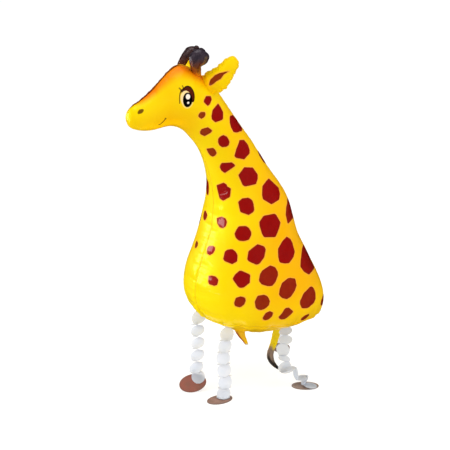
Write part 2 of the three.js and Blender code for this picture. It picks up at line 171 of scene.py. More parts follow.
def outward(verts, quads, tris):
    t = np.concatenate([quads[:, [0, 1, 2]], quads[:, [0, 2, 3]], tris]) if len(quads) else tris
    vol = (verts[t[:, 0]] * np.cross(verts[t[:, 1]], verts[t[:, 2]])).sum()
    if vol < 0:
        quads, tris = quads[:, ::-1], tris[:, ::-1]
    return verts, quads, tris


def joined(parts):
    """Several closed shells, with their painted values, as one mesh."""
    verts, quads, tris, paint, n = [], [], [], {}, 0
    for v, q, t, a in parts:
        verts.append(v); quads.append(q + n); tris.append(t + n)
        for k, x in a.items():
            paint.setdefault(k, []).append(x)
        n += len(v)
    return (np.concatenate(verts), np.concatenate(quads), np.concatenate(tris),
            {k: np.concatenate(x) for k, x in paint.items()})


def piece(name, verts, quads, tris, material, paint=None, slot=None, replaces=(), smooth=True):
    me = bpy.data.meshes.new(name)
    v = (np.asarray(verts, float) - [0, ORIGIN_Y, 0]) / 1000
    me.vertices.add(len(v))
    me.vertices.foreach_set("co", v.astype(np.float32).ravel())
    idx = np.concatenate([quads.reshape(-1), tris.reshape(-1)]).astype(np.int32)
    me.loops.add(len(idx))
    me.loops.foreach_set("vertex_index", idx)
    starts = np.concatenate([np.arange(len(quads)) * 4, len(quads) * 4 + np.arange(len(tris)) * 3]).astype(np.int32)
    me.polygons.add(len(starts))
    me.polygons.foreach_set("loop_start", starts)
    me.polygons.foreach_set("use_smooth", np.full(len(starts), smooth))
    me.update(calc_edges=True)
    me.validate()
    for key, value in (paint or {}).items():
        value = np.asarray(value, np.float32)
        if value.ndim == 2:
            a = me.attributes.new(key, "FLOAT_COLOR", "POINT")
            a.data.foreach_set("color", np.concatenate([value, np.ones((len(value), 1), np.float32)], 1).ravel())
        else:
            a = me.attributes.new(key, "FLOAT", "POINT")
            a.data.foreach_set("value", value)
    ob = bpy.data.objects.new(name, me)
    scene.collection.objects.link(ob)
    me.materials.append(material)
    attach(ob, "root")
    if replaces:
        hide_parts(*replaces)
    return ob


# ------------------------------------------------------------------ seams and puckers
class Puckers:
    """Pillows side by side along a seam, with sharp valleys between them, that die out away from it."""

    def __init__(self, length, spacing, seed):
        rng = np.random.default_rng(seed)
        n = int(length / spacing * 1.6) + 6
        self.width = spacing * rng.uniform(0.6, 1.5, n)
        self.edge = np.concatenate([[0], np.cumsum(self.width)]) - spacing
        self.amp = rng.uniform(0.3, 1.0, n)
        self.reach = rng.uniform(0.8, 1.7, n)

    def __call__(self, x, s, reach=1.0):
        i = np.clip(np.searchsorted(self.edge, x, side="right") - 1, 0, len(self.width) - 1)
        w = self.width[i]
        pillow = np.sin(np.pi * np.clip((x - self.edge[i]) / w, 0, 1)) ** 0.75
        return self.amp[i] * w * (pillow - 0.25) * (1 - np.exp(-s / 3.5)) * np.exp(-(s / (w * self.reach[i] * reach)) ** 1.25)


def wave(x, seed, period, octaves=3):
    """A smooth wander along a line, about +-1."""
    rng = np.random.default_rng(seed)
    out = 0
    for k in range(octaves):
        out = out + rng.uniform(0.5, 1) * np.sin(2 * np.pi * x / (period / 1.7 ** k) + rng.uniform(0, 6.28)) / 1.4 ** k
    return out / 1.6


def rim_strip(line, out, side, width, seed, thick=0.45, closed=False, buried=2.5, flutter=0.7):
    """A flat sealed rim: line is where it leaves the skin, out its direction and side its normal."""
    n = len(line)
    x = np.concatenate([[0], np.cumsum(np.linalg.norm(np.diff(line, axis=0), axis=1))])
    w = width * (1 + 0.16 * wave(x, seed, 21) + 0.06 * wave(x, seed + 1, 8))
    bend = flutter * wave(x, seed + 2, 27) + 0.4 * flutter * wave(x, seed + 3, 11)
    rings = []
    for a, t, b in ((-buried, thick, 0.0), (1.0, thick, 0.35), (None, thick * 0.7, 1.0)):
        reach = w if a is None else np.full(n, a)
        c = line + out * reach[:, None] + side * (bend * b)[:, None]
        rings.append((c + side * t, c - side * t))
    loop = np.stack([rings[0][0], rings[1][0], rings[2][0], rings[2][1], rings[1][1], rings[0][1]], 1)
    verts = loop.reshape(-1, 3)
    rows = np.arange(n if closed else n - 1)
    quads = []
    for k in range(6):
        a = rows * 6 + k
        b = rows * 6 + (k + 1) % 6
        quads.append(np.stack([a, b, (b + 6) % (6 * n), (a + 6) % (6 * n)], -1))
    quads = np.concatenate(quads)
    if not closed:
        e = (n - 1) * 6
        quads = np.concatenate([quads, [[0, 5, 4, 1], [1, 4, 3, 2], [e, e + 1, e + 4, e + 5], [e + 1, e + 2, e + 3, e + 4]]])
    return outward(verts, quads, np.zeros((0, 3), int))


# ------------------------------------------------------------------ the print on the foil, and painted shade in its yellow
# Spots: a middle on the left panel, how brown it is, and its corners in mm (to the back, up) on the skin there
SPOTS = [
    ((47, -81, 748), 0.0, [(-2, 9), (10, 8), (11, 2), (4, -8), (-1, -11), (-10, -2), (-9, 1)]),
    ((45, -97, 714), 1.0, [(-3, 6), (6, 5), (7, 1), (5, -4), (-1, -8), (-7, -3), (-7, 1)]),
    ((49, -56, 715), 0.0, [(7, 21), (11, 16), (18, 2), (15, -13), (12, -15), (-6, -19), (-14, -12), (-15, -5), (-12, 8), (-3, 15)]),
    ((44, -3, 682), 0.0, [(-4, 22), (14, 22), (36, 6), (40, -10), (26, -17), (12, -17), (2, -18), (-9, -15), (-14, -3), (-14, 8), (-10, 18)]),
    ((38, -83, 670), 0.8, [(-8, 7), (5, 11), (14, 3), (11, -1), (0, -8), (-2, -10), (-10, -6), (-11, 1)]),
    ((51, -40, 646), 0.0, [(-8, 11), (-1, 14), (7, 10), (11, 3), (13, -2), (11, -9), (6, -12), (-3, -13), (-9, -9), (-12, -2), (-12, 6)]),
    ((61, 8, 622), 0.0, [(-3, 23), (12, 22), (21, 10), (22, -2), (19, -9), (7, -16), (1, -21), (-19, -15), (-21, -11), (-16, 3), (-7, 17)]),
    ((29, -59, 617), 0.8, [(-11, 8), (3, 11), (7, 6), (9, -1), (6, -6), (0, -10), (-5, -8), (-9, -1)]),
    ((48, -31, 582), 0.0, [(-10, 8), (13, 10), (19, 4), (17, 2), (3, -8), (-5, -14), (-12, -9), (-15, -2), (-13, 4)]),
    ((76, 17, 557), 0.0, [(-11, 23), (11, 21), (22, 5), (21, -4), (15, -16), (-12, -20), (-16, -17), (-25, 6)]),
    ((27, 92, 591), 0.3, [(-28, 12), (-21, 18), (-9, 19), (3, 2), (1, -17), (-17, -16), (-27, -5)]),
    ((35, -32, 521), 0.0, [(-17, 10), (2, 19), (8, 16), (9, 11), (18, 7), (16, -12), (-1, -23), (-10, -20), (-13, -12), (-16, 2)]),
    ((95, 67, 519), 0.0, [(11, 31), (36, 7), (31, -8), (19, -22), (-8, -29), (-25, -13), (-24, -3), (-17, 16), (-1, 26)]),
    ((85, 3, 490), 0.0, [(-20, 8), (-11, 16), (3, 18), (11, 13), (14, 5), (16, -9), (14, -13), (4, -20), (-15, -14), (-17, -5)]),
    ((106, 116, 464), 0.2, [(21, 26), (42, 26), (52, 0), (34, -20), (12, -20), (-14, -23), (-18, -24), (-18, -3), (-6, 12)]),
    ((36, -36, 443), 0.0, [(-17, 6), (-3, 12), (8, 10), (13, 4), (11, -6), (5, -11), (-5, -11), (-13, -4)]),
    ((123, 43, 445), 0.0, [(-23, 9), (-12, 22), (17, 25), (20, 22), (30, 4), (24, -10), (13, -28), (-15, -26), (-19, -18), (-23, 0)]),
    ((91, -13, 425), 0.0, [(-16, 7), (-11, 15), (5, 17), (12, 14), (18, 5), (18, -2), (14, -12), (3, -16), (-9, -16), (-17, -10), (-20, -2)]),
    ((22, -59, 374), 0.0, [(-14, -1), (-11.5, 6), (2, 9.5), (9.5, 8), (10.5, 2), (8, -5), (1, -10.5), (-8, -9)]),
    ((140, 83, 378), 0.0, [(10, 32), (23, 24), (28, 15), (29, -6), (19, -17), (-1, -28), (-15, -26), (-26, -21), (-26, -9), (-22, 10), (-6, 25)]),
    ((122, 5, 378), 0.0, [(3, 23), (18, 18), (21, 12), (17, -6), (7, -19), (1, -23), (-18, -15), (-21, -11), (-18, 7), (-9, 14)]),
    ((78, -41, 371), 0.0, [(-15, 7), (-10, 12), (2, 15), (10, 11), (16, 4), (17, -10), (7, -17), (-12, -13), (-16, -9)]),
    ((130, 152, 339), 0.1, [(12, 29), (44, 32), (60, 0), (48, -30), (22, -31), (-13, -32), (-29, -18), (-35, -4), (-23, 9), (-6, 21)]),
    ((150, 22, 327), 0.3, [(6, 25), (17, 20), (22, 10), (22, 2), (13, -14), (5, -21), (-4, -21), (-19, -15), (-24, -7), (-20, 7), (-14, 15)]),
    ((115, -35, 321), 0.0, [(-4, 20), (19, 12), (19, -6), (5, -18), (-5, -18), (-20, 0), (-15, 10)]),
    ((56, -77.6, 310), 0.1, [(-14, 7), (-6, 9), (5, 9), (13, 4), (12, -7), (6, -10), (-9, -9), (-13, -3)]),
    ((170, 64, 293), 0.4, [(8, 25), (26, 20), (27, 5), (20, -6), (7, -18), (-4, -22), (-17, -17), (-23, -9), (-20, 3), (-12, 16)]),
    ((170, 130, 257), 0.4, [(17, 24), (28, 18), (34, 6), (33, -11), (25, -18), (0, -23), (-22, -19), (-29, -7), (-29, 0), (-16, 15)]),
    ((131, 206, 224), 0.3, [(-16, 5), (-4, 12), (12, 14), (18, -8), (-4, -9), (-14, -3)]),
    ((121, -43, 269), 0.5, [(-9, 7), (1, 11), (11, 10), (12, 4), (9, -5), (0, -13), (-11, -12), (-13, -5)]),
    ((154, 0, 268), 0.6, [(-11, 15), (5, 17), (12, 12), (16, 2), (14, -7), (5, -15), (-7, -18), (-15, -12), (-17, 2)]),
    ((169, 58, 232), 0.6, [(5, 16), (20, 2), (14, -5), (2, -15), (-10, -15), (-15, -7), (-8, 3), (-3, 13)]),
    ((156, 15, 232), 0.6, [(-5, 8), (4, 11), (11, 6), (9, -2), (2, -10), (-9, -12), (-11, -5)]),
    ((156, 130, 205), 0.7, [(-6, 8), (9, 6), (18, -4), (4, -8), (-8, -8), (-11, 0)]),
    ((16, 145, 530), 0.0, [(-9, 12), (4, 15), (11, 6), (10, -8), (1, -15), (-9, -8)]),
    ((24, 176, 452), 0.0, [(-14, 14), (2, 19), (14, 9), (15, -8), (4, -18), (-12, -12)]),
    ((26, 200, 372), 0.1, [(-13, 15), (6, 18), (17, 6), (13, -13), (-3, -19), (-16, -8)]),
    ((30, 243, 296), 0.2, [(-17, 12), (-4, 21), (14, 14), (17, -5), (6, -18), (-13, -14)]),
    ((62, 262, 240), 0.3, [(-12, 12), (7, 15), (14, 2), (7, -12), (-9, -12), (-14, 0)]),
    ((18, 268, 232), 0.4, [(-8, 9), (6, 10), (10, -3), (0, -11), (-10, -6)]),
]
# the right panel's print isn't an exact mirror of the left's: its own middle, size and brown for these spots, or none
FAR_SPOTS = {(36, -36, 443): ((39, -34, 443), 0.85, 0.5), (22, -59, 374): ((50, -52.5, 369), 0.68, 1.0), (56, -77.6, 310): None,
             (78, -41, 371): ((100, -24, 359), 0.6, 0.2)}
EYE = ((45.3, -137.6, 760.8), (0.98, -0.17, 0.07))
NOSTRIL = ((18.7, -244.5, 734.4), (0.84, -0.32, 0.43))
MOUTH = ((22.9, -191.3, 705.5), (0.85, 0.03, -0.53))


def in_plane(p, centre, normal):
    n = np.asarray(normal, float)
    n = n / np.linalg.norm(n)
    t1 = np.cross([0, 0, 1.0], n)
    t1 /= np.linalg.norm(t1)
    d = p - np.asarray(centre, float)
    return d @ t1, d @ np.cross(n, t1), d @ n


def polygon(u, v, corners):
    """Distance in mm inside a polygon, negative outside it."""
    c = np.asarray(corners, float)
    best = np.full(len(u), 1e9)
    inside = np.zeros(len(u), bool)
    for a, b in zip(c, np.roll(c, -1, 0)):
        e = b - a
        t = np.clip(((u - a[0]) * e[0] + (v - a[1]) * e[1]) / (e @ e), 0, 1)
        best = np.minimum(best, np.hypot(u - a[0] - t * e[0], v - a[1] - t * e[1]))
        cross = (a[1] > v) != (b[1] > v)
        with np.errstate(divide="ignore", invalid="ignore"):
            inside ^= cross & (u < a[0] + (v - a[1]) / (e[1] if e[1] else 1e-9) * e[0])
    return np.where(inside, best, -best)


def oval(u, v, cu, cv, a, b, turn=0.0):
    c, s = math.cos(math.radians(turn)), math.sin(math.radians(turn))
    p, q = (u - cu) * c + (v - cv) * s, -(u - cu) * s + (v - cv) * c
    r = np.hypot(p / a, q / b)
    g = np.hypot(p / a ** 2, q / b ** 2)
    return np.where(r > 1e-6, r * (1 - r) / np.maximum(g, 1e-9), min(a, b))


def stroke(u, v, points, half):
    best = np.full(len(u), 1e9)
    for a, b in zip(points[:-1], points[1:]):
        a, e = np.asarray(a, float), np.asarray(b, float) - np.asarray(a, float)
        t = np.clip(((u - a[0]) * e[0] + (v - a[1]) * e[1]) / (e @ e), 0, 1)
        best = np.minimum(best, np.hypot(u - a[0] - t * e[0], v - a[1] - t * e[1]))
    return half - best


FAR = 14.0
# ORANGE and RIDGE are print colours; the pale yellow is painted light for the body's sealed rim
ORANGE, RIDGE, PALE_SEAM_LIGHT = np.array([0.95, 0.215, 0.0]), np.array([0.22, 0.03, 0.002]), np.array([1.0, 0.68, 0.04])
_k = knots_of(BODY)
_top = spline(_k, np.asarray(BODY, float)[:, 2:4])(np.linspace(0, _k[6], 60))   # the head's top line, y and z


def yellow_print_and_shade(p):
    """The yellow runs from lemon at the front to amber at the back, partly as print and partly as painted light and
    shade: the belly bottom and the front of the neck are painted lighter, the lower face darker and the upper face
    under the brow lighter.
    """
    y, z = p[:, 1], p[:, 2]
    body = np.interp(y, [-100, -60, -20, 30, 80, 150, 260], [0.75, 0.69, 0.64, 0.52, 0.48, 0.485, 0.50])
    # painted light: lighter low on the belly, most towards the back, and on the front of the neck above the chest
    low = 1 - ramp(z, 215, 300)
    body = body + low * (0.03 + 0.09 * ramp(y, -20, 80)) + 0.08 * ramp(z, 385, 450) * (1 - ramp(y, 10, 70))
    head = np.interp(y, [-255, -220, -175, -145, -105, -75, -45, -10, 30, 70], [0.69, 0.65, 0.57, 0.61, 0.65, 0.71, 0.66, 0.57, 0.55, 0.63])
    # painted shade on the lower face, and painted light on the face under the brow
    head = head + (0.09 * ramp(z, 705, 750) - 0.045) * (1 - ramp(y, -120, -90))
    up = ramp(z, 480, 670)
    g_ = body * (1 - up) + head * up
    return (0.96 + 0.035 * low)[:, None] * np.stack([0 * g_ + 1.0, g_, 0 * g_], -1)


def body_print_and_shade(p, n):
    """The values painted at each point of the body: colours, and distances into each printed shape."""
    p = p * [1, 1, 1]
    side = np.where(p[:, 0] < 0, -1.0, 1.0)
    p[:, 0] *= side
    n = n.copy()
    n[:, 0] *= side
    spot, tint = np.full(len(p), -FAR), np.zeros(len(p))
    for middle, brown, corners in SPOTS:
        here = (middle, 1.0, brown)
        for print_, panel in ((here, side > 0), (FAR_SPOTS.get(middle, here), side < 0)):
            if print_ is None:
                continue
            centre, size, brown = print_
            near = np.linalg.norm(p - np.asarray(centre, float), axis=1)
            m = n[np.argmin(near + 1e3 * (side < 0))]
            k = np.where((near < 90) & (n @ m > 0.1) & panel)[0]
            u, v, w = in_plane(p[k], centre, m)
            d = np.where(np.abs(w) < 45, polygon(u, v, np.asarray(corners, float) * size), -FAR)
            d = np.clip(d, -FAR, FAR)
            better = d > spot[k]
            spot[k] = np.where(better, d, spot[k])
            tint[k] = np.where(better, brown, tint[k])
    out = {"spot": spot, "tint": tint}
    far = np.full(len(p), -FAR)
    head = np.where((p[:, 1] < -60) & (p[:, 2] > 660))[0]
    u, v, w = in_plane(p[head], *EYE)
    ok = np.abs(w) < 30
    shapes = {
        "lid": np.maximum(np.minimum(oval(u, v, 3.6, 0.6, 16.8, 25.6), v + 13.5), stroke(u, v, [(-13.5, 12.5), (-11.5, 15.5), (-7.5, 19.5), (-3, 22)], 1.5)),
        "cream": oval(u, v, -2.6, -2.4, 12.5, 17.2),
        "pupil": oval(u, v, 2.0, -7.4, 11.9, 17.7),
        "glint": np.maximum(oval(u, v, 2.7, 0.2, 5.5, 6.4), oval(u, v, 3.0, -14.4, 2.9, 2.8)),
        "ring": np.minimum(oval(u, v, 1.6, -7.2, 14.9, 20.6), 4 - v),
        "ink": np.maximum.reduce([
            stroke(u, v, [(-11.0, 15.5), (-15.8, 21.8)], 1.5), stroke(u, v, [(-6.0, 20.0), (-8.0, 26.5)], 1.3),
            stroke(u, v, [(-12.5, 15), (-15.2, 10), (-16.8, 3), (-17.6, -5), (-17.4, -15)], 1.15)])}
    for key, d in shapes.items():
        a = far.copy()
        a[head] = np.where(ok, np.clip(d, -FAR, FAR), -FAR)
        out[key] = a
    u, v, w = in_plane(p[head], *NOSTRIL)
    d = np.where(np.abs(w) < 25, oval(u, v, -0.8, -0.2, 9.0, 4.7, 33), -FAR)
    out["nostril"] = far.copy()
    out["nostril"][head] = np.clip(d, -FAR, FAR)
    u, v, w = in_plane(p[head], *MOUTH)
    d = np.maximum(stroke(u, v, [(-7, -9.3), (-4, -8), (-0.7, -5.2), (3.2, 0.4), (6.6, 7.2)], 1.3),
                   stroke(u, v, [(4.2, 9.2), (9.2, 6.4)], 0.9))
    d = np.where(np.abs(w) < 25, d, -FAR)
    out["ink"][head] = np.maximum(out["ink"][head], np.clip(d, -FAR, FAR))
    base = yellow_print_and_shade(p)
    depth = np.interp(p[:, 1], _top[:, 0], _top[:, 1]) - p[:, 2]
    reach = np.interp(p[:, 1], [-250, -217, -190, -146, -111, -60], [9, 13, 18, 30, 46, 36])
    w = (1 - ramp(depth, -2, reach)) * ramp(p[:, 1], -262, -215) * (1 - ramp(p[:, 1], -82, -36)) * (p[:, 2] > 650)
    w = np.clip(w * 1.2, 0, 1)[:, None]
    base = base * (1 - w) + ORANGE * w
    out["base"] = base
    return out


# ------------------------------------------------------------------ materials
class Nodes:
    def __init__(self, name):
        self.mat = bpy.data.materials.new(name)
        self.mat.use_nodes = True
        self.tree = self.mat.node_tree
        self.tree.nodes.clear()
        self.out = self.new("ShaderNodeOutputMaterial")
        self.bsdf = self.new("ShaderNodeBsdfPrincipled")
        self.link(self.bsdf.outputs[0], self.out.inputs["Surface"])

    def new(self, kind, **props):
        n = self.tree.nodes.new(kind)
        for k, v in props.items():
            setattr(n, k, v)
        return n

    def link(self, a, b):
        self.tree.links.new(a, b)

    def put(self, socket, value):
        if isinstance(value, bpy.types.NodeSocket):
            self.link(value, socket)
        elif isinstance(value, (tuple, list, np.ndarray)):
            value = [float(c) for c in value]
            socket.default_value = value + [1.0] if len(socket.default_value) == 4 and len(value) == 3 else value
        else:
            socket.default_value = value

    def attr(self, name, output="Fac"):
        return self.new("ShaderNodeAttribute", attribute_name=name).outputs[output]

    def math(self, op, a, b=0.0, c=0.0, clamp=False):
        n = self.new("ShaderNodeMath", operation=op, use_clamp=clamp)
        for s, v in zip(n.inputs, (a, b, c)):
            self.put(s, v)
        return n.outputs[0]

    def range(self, x, a, b, lo=0.0, hi=1.0, smooth=True):
        n = self.new("ShaderNodeMapRange", interpolation_type="SMOOTHSTEP" if smooth else "LINEAR")
        for s, v in zip(("Value", "From Min", "From Max", "To Min", "To Max"), (x, a, b, lo, hi)):
            self.put(n.inputs[s], v)
        return n.outputs["Result"]

    def mix(self, fac, a, b, blend="MIX"):
        n = self.new("ShaderNodeMix", data_type="RGBA", blend_type=blend)
        self.put(n.inputs[0], fac)
        self.put(n.inputs[6], a)
        self.put(n.inputs[7], b)
        return n.outputs[2]

    def noise(self, scale, detail=3.0, rough=0.5, distort=0.0, coord=None, out="Fac"):
        n = self.new("ShaderNodeTexNoise")
        self.put(n.inputs["Scale"], scale)
        self.put(n.inputs["Detail"], detail)
        self.put(n.inputs["Roughness"], rough)
        self.put(n.inputs["Distortion"], distort)
        self.link(coord or self.coord(), n.inputs["Vector"])
        return n.outputs[out]

    def coord(self):
        if not hasattr(self, "_coord"):
            self._coord = self.new("ShaderNodeTexCoord").outputs["Object"]
        return self._coord

    def bump(self, height, strength, distance, normal=None):
        n = self.new("ShaderNodeBump")
        self.put(n.inputs["Strength"], strength)
        self.put(n.inputs["Distance"], distance)
        self.put(n.inputs["Height"], height)
        if normal is not None:
            self.link(normal, n.inputs["Normal"])
        return n.outputs[0]

    def shader(self, **values):
        names = {"color": "Base Color", "metallic": "Metallic", "rough": "Roughness", "normal": "Normal",
                 "coat": "Coat Weight", "coat_rough": "Coat Roughness", "spec": "Specular IOR Level", "ior": "IOR",
                 "coat_normal": "Coat Normal", "sheen": "Sheen Weight", "emit": "Emission Color",
                 "emit_strength": "Emission Strength"}
        for k, v in values.items():
            self.put(self.bsdf.inputs[names[k]], v)
        return self.mat


def printed_foil(name, face=False, spots=True):
    m = Nodes(name)
    soft = m.noise(14, 2, 0.5)
    col = m.attr("base", "Color")
    col = m.mix(m.range(soft, 0.35, 0.7, 0.0, 0.10), col, (0.97, 0.62, 0.0))
    if spots:
        edge = m.math("MULTIPLY_ADD", m.noise(420, 2, 0.6), 0.8, -0.4)
        d = m.math("ADD", m.math("ADD", m.attr("spot"), 1.8), edge)
        col = m.mix(m.range(d, -3.4, -0.9, 0.0, 0.78), col, (0.98, 0.37, 0.045))
        red = m.mix(m.attr("tint"), (0.315, 0.002, 0.001), (0.305, 0.041, 0.002))
        red = m.mix(m.range(m.noise(60, 3, 0.6), 0.35, 0.75, 0.0, 0.35), red, (0.23, 0.001, 0.002))
        rim = m.range(d, 0.0, 3.6, 0.75, 0.0)
        red = m.mix(rim, red, (0.17, 0.008, 0.001))
        col = m.mix(m.range(d, -0.7, 0.7), col, red)
    if face:
        col = m.mix(m.range(m.attr("ring"), -1.4, 0.8, 0.0, 0.75), col, (1.0, 0.74, 0.22))
        col = m.mix(m.range(m.attr("lid"), -0.8, 0.8), col, m.mix(m.range(m.attr("lid"), 0.8, 4.5), (0.022, 0.004, 0.003), (0.105, 0.012, 0.002)))
        col = m.mix(m.range(m.attr("cream"), -0.8, 0.8), col, (1.0, 0.74, 0.33))
        col = m.mix(m.range(m.attr("pupil"), -0.8, 0.8), col, (0.002, 0.001, 0.001))
        col = m.mix(m.range(m.attr("glint"), -0.9, 0.9), col, (1.0, 0.90, 0.76))
        col = m.mix(m.range(m.attr("nostril"), -1.0, 1.0, 0.0, 0.92), col, (0.13, 0.035, 0.002))
        col = m.mix(m.range(m.attr("ink"), -0.8, 0.5, 0.0, 0.9), col, (0.05, 0.015, 0.004))
    crinkle = m.bump(m.noise(34, 3, 0.55, 0.6), 0.30, 0.0016)
    crinkle = m.bump(m.noise(210, 2, 0.5), 0.12, 0.0004, crinkle)
    rough = m.range(m.noise(22, 3, 0.5), 0.3, 0.7, 0.28, 0.40)
    gloss = m.range(m.attr("spot"), -2.8, -0.8, 0.18, 0.8)
    return m.shader(color=col, metallic=0.22, rough=rough, spec=0.15, coat=gloss, coat_rough=0.055, normal=crinkle,
                    coat_normal=crinkle)


# ------------------------------------------------------------------ the body
def body_grid(inset):
    t = np.concatenate([np.linspace(0, _k[6], 148, endpoint=False), np.linspace(_k[6], _k[-1], 178)])
    c0 = np.arange(1, 24) / 24 * math.pi / 2
    c1 = np.arange(1, 44) / 44 * math.pi / 2
    g, p0, p1 = grid(BODY, t, columns(112, 0.5), MUZZLE_BULGE, c0, GUSSET_DEPTH, c1, GUSSET_ROUND, inset)
    return g, p0, p1, len(c0) + len(t) - 1, np.concatenate([np.zeros(len(c0)), t, np.full(len(c1), _k[-1])])


plain, _, _, seam_row, station_t = body_grid(0.0)
plain_n = normals_of(plain)
g, pole0, pole1, _, _ = body_grid(RIM)
rows, cols = g.shape[:2]
half = cols // 2
ease = (ramp(np.arange(rows), 2, 14) * (1 - ramp(np.arange(rows), 34, 56)))[1:-1, None, None]
for _ in range(90):                                     # the muzzle runs into its rounded end without a crease
    g[1:-1] += 0.5 * ease * ((g[:-2] + g[2:]) / 2 - g[1:-1])
n = normals_of(g)

# how strongly the foil puckers along the front and back seams, station by station
strength_front = np.interp(station_t, _k, [.55, .5, .4, .3, .25, .15, .12, .12, .25, .6, .9, 1, 1, 1, .9])
strength_back = np.interp(station_t, _k, [.5, .35, .25, .3, .4, .4, .3, .3, .35, .45, .6, .8, 1, 1.1, 1.1])
along = arc(g, 0)
lift = np.zeros((rows, cols))
for k, (lo, hi) in enumerate(((0, half), (half, cols))):                     # left panel, right panel
    cells = np.arange(lo, hi + 1) % cols
    a = arc(g[:, cells], 1)
    from_start, from_end = a, a[:, -1:] - a
    front, back = (from_start, from_end) if k == 0 else (from_end, from_start)
    for dist, x, s, seed in ((front, along[:, 0], strength_front, 11), (back, along[:, half], strength_back, 23)):
        x = x[:, None] + 0 * dist
        small, middle, large = Puckers(1400, 13, seed + k), Puckers(1400, 27, seed + 40 + k), Puckers(1400, 58, seed + 80 + k)
        d = s[:, None] * (0.12 * small(x, dist, 1.2) + 0.12 * middle(x, dist, 1.1) + 0.065 * large(x, dist))
        lift[:, cells[:-1]] += d[:, :-1]
ring_x = arc(np.concatenate([g[seam_row:seam_row + 1], g[seam_row:seam_row + 1, :1]], 1), 1)[0, :-1]
meridian = np.abs(along - along[seam_row:seam_row + 1])
gx = ring_x[None] + 0 * meridian
for spacing, size, seed in ((15, 0.10, 5), (32, 0.12, 6), (66, 0.075, 7)):
    lift += size * Puckers(1500, spacing, seed)(gx, meridian)
# a slow swell over the panels, fading out towards the head
swell = 0.7 * (wave(along[:, :1] + 0.35 * ring_x[None] * 1.0, 31, 150) * wave(ring_x[None] + 0.2 * along, 32, 170))
lift += swell * ramp(station_t, _k[3], _k[8])[:, None]
fade = np.ones(rows)
fade[:10] = np.linspace(0, 1, 10)
fade[-12:] = np.linspace(1, 0, 12)
g = g + n * (lift * fade[:, None])[..., None]
verts, quads, tris = skin(g, pole0, pole1)
flat = np.concatenate([[plain[0].mean(0)], plain.reshape(-1, 3), [plain[-1].mean(0)]])
flat_n = np.concatenate([[plain_n[0].mean(0)], plain_n.reshape(-1, 3), [plain_n[-1].mean(0)]])
paint = body_print_and_shade(flat, flat_n)

# sealed rim: up the chest and throat, round the muzzle, over the head and down the back
order = [(r, 0) for r in range(seam_row, -1, -1)] + [None] + [(r, half) for r in range(0, seam_row + 1)]
line = np.array([pole0 if o is None else g[o[0], o[1]] for o in order])
line[:, 0] = 0
centre = np.array([pole0 if o is None else g[o[0]].mean(0) for o in order])
tangent = np.gradient(line, axis=0)
out_dir = np.stack([0 * tangent[:, 0], tangent[:, 2], -tangent[:, 1]], -1)
out_dir /= np.linalg.norm(out_dir, axis=1, keepdims=True)
flip = np.sign(((line - centre) * out_dir).sum(1))
mid = len(line) // 2
out_dir *= np.sign(flip[:mid - 30].sum() + flip[mid + 30:].sum()) or 1
side = np.tile([1.0, 0, 0], (len(line), 1))
rim_w = RIM * (0.27 + 0.73 * ramp(np.abs(np.arange(len(line)) - seam_row), 0, 20) * (np.arange(len(line)) > seam_row))
rv, rq, rt = rim_strip(line, out_dir, side, rim_w, 51)
ref = np.repeat(line, 6, 0)
rim_paint = body_print_and_shade(ref + [0.01, 0, 0], np.repeat(out_dir, 6, 0))
for key in ("lid", "cream", "pupil", "glint", "ring", "nostril", "ink"):
    rim_paint[key] = np.full(len(ref), -FAR)
back_half = np.repeat(np.arange(len(line)) > seam_row, 6)
dark = back_half * ramp(ref[:, 1], -266, -256) * (1 - ramp(ref[:, 1], -138, -120)) * (ref[:, 2] > 700)
# the rim is painted halfway to pale yellow: painted light against the shade and yellow bounce in the seam's crease
rim_paint["base"] = (rim_paint["base"] * 0.5 + 0.5 * PALE_SEAM_LIGHT) * (1 - dark[:, None]) + RIDGE * dark[:, None]
# the lower seam, where the gusset closes the belly
ring = g[seam_row]
t = np.roll(ring, -1, 0) - np.roll(ring, 1, 0)
up = g[seam_row - 4] - g[seam_row]
o = np.cross(t, up)
o /= np.linalg.norm(o, axis=1, keepdims=True)
o *= np.sign((o * (ring - ring.mean(0))).sum(1))[:, None]
s = np.cross(t, o)
s /= np.linalg.norm(s, axis=1, keepdims=True)
gv, gq, gt = rim_strip(ring, o, s, 1.8, 61, closed=True, flutter=0.4, buried=1.5)
gref = np.repeat(ring, 6, 0)
gusset_paint = body_print_and_shade(gref, np.repeat(o, 6, 0))
for key in ("lid", "cream", "pupil", "glint", "ring", "nostril", "ink"):
    gusset_paint[key] = np.full(len(gref), -FAR)

# dark line on the skin beside the rim, along the top of the muzzle and brow
base = paint["base"]
grid_base = base[1:-1].reshape(rows, cols, 3)
for j in range(-6, 7):
    col = (half + j) % cols
    dist = np.linalg.norm(plain[:, col] - plain[:, half], axis=1)
    w = (1 - ramp(dist, 0.6, 3.2)) * ramp(plain[:, half, 1], -264, -254) * (1 - ramp(plain[:, half, 1], -138, -120)) * (plain[:, half, 2] > 700)
    grid_base[:, col] = grid_base[:, col] * (1 - w[:, None]) + RIDGE * w[:, None]
base[1:-1] = grid_base.reshape(-1, 3)

body_material = printed_foil("printed_foil_body", face=True)
envelope = piece("foil_body", *joined([(verts, quads, tris, paint), (rv, rq, rt, rim_paint), (gv, gq, gt, gusset_paint)])[:3],
                 body_material,
                 joined([(verts, quads, tris, paint), (rv, rq, rt, rim_paint), (gv, gq, gt, gusset_paint)])[3],
                 "printed_foil", ["foil_envelope"])


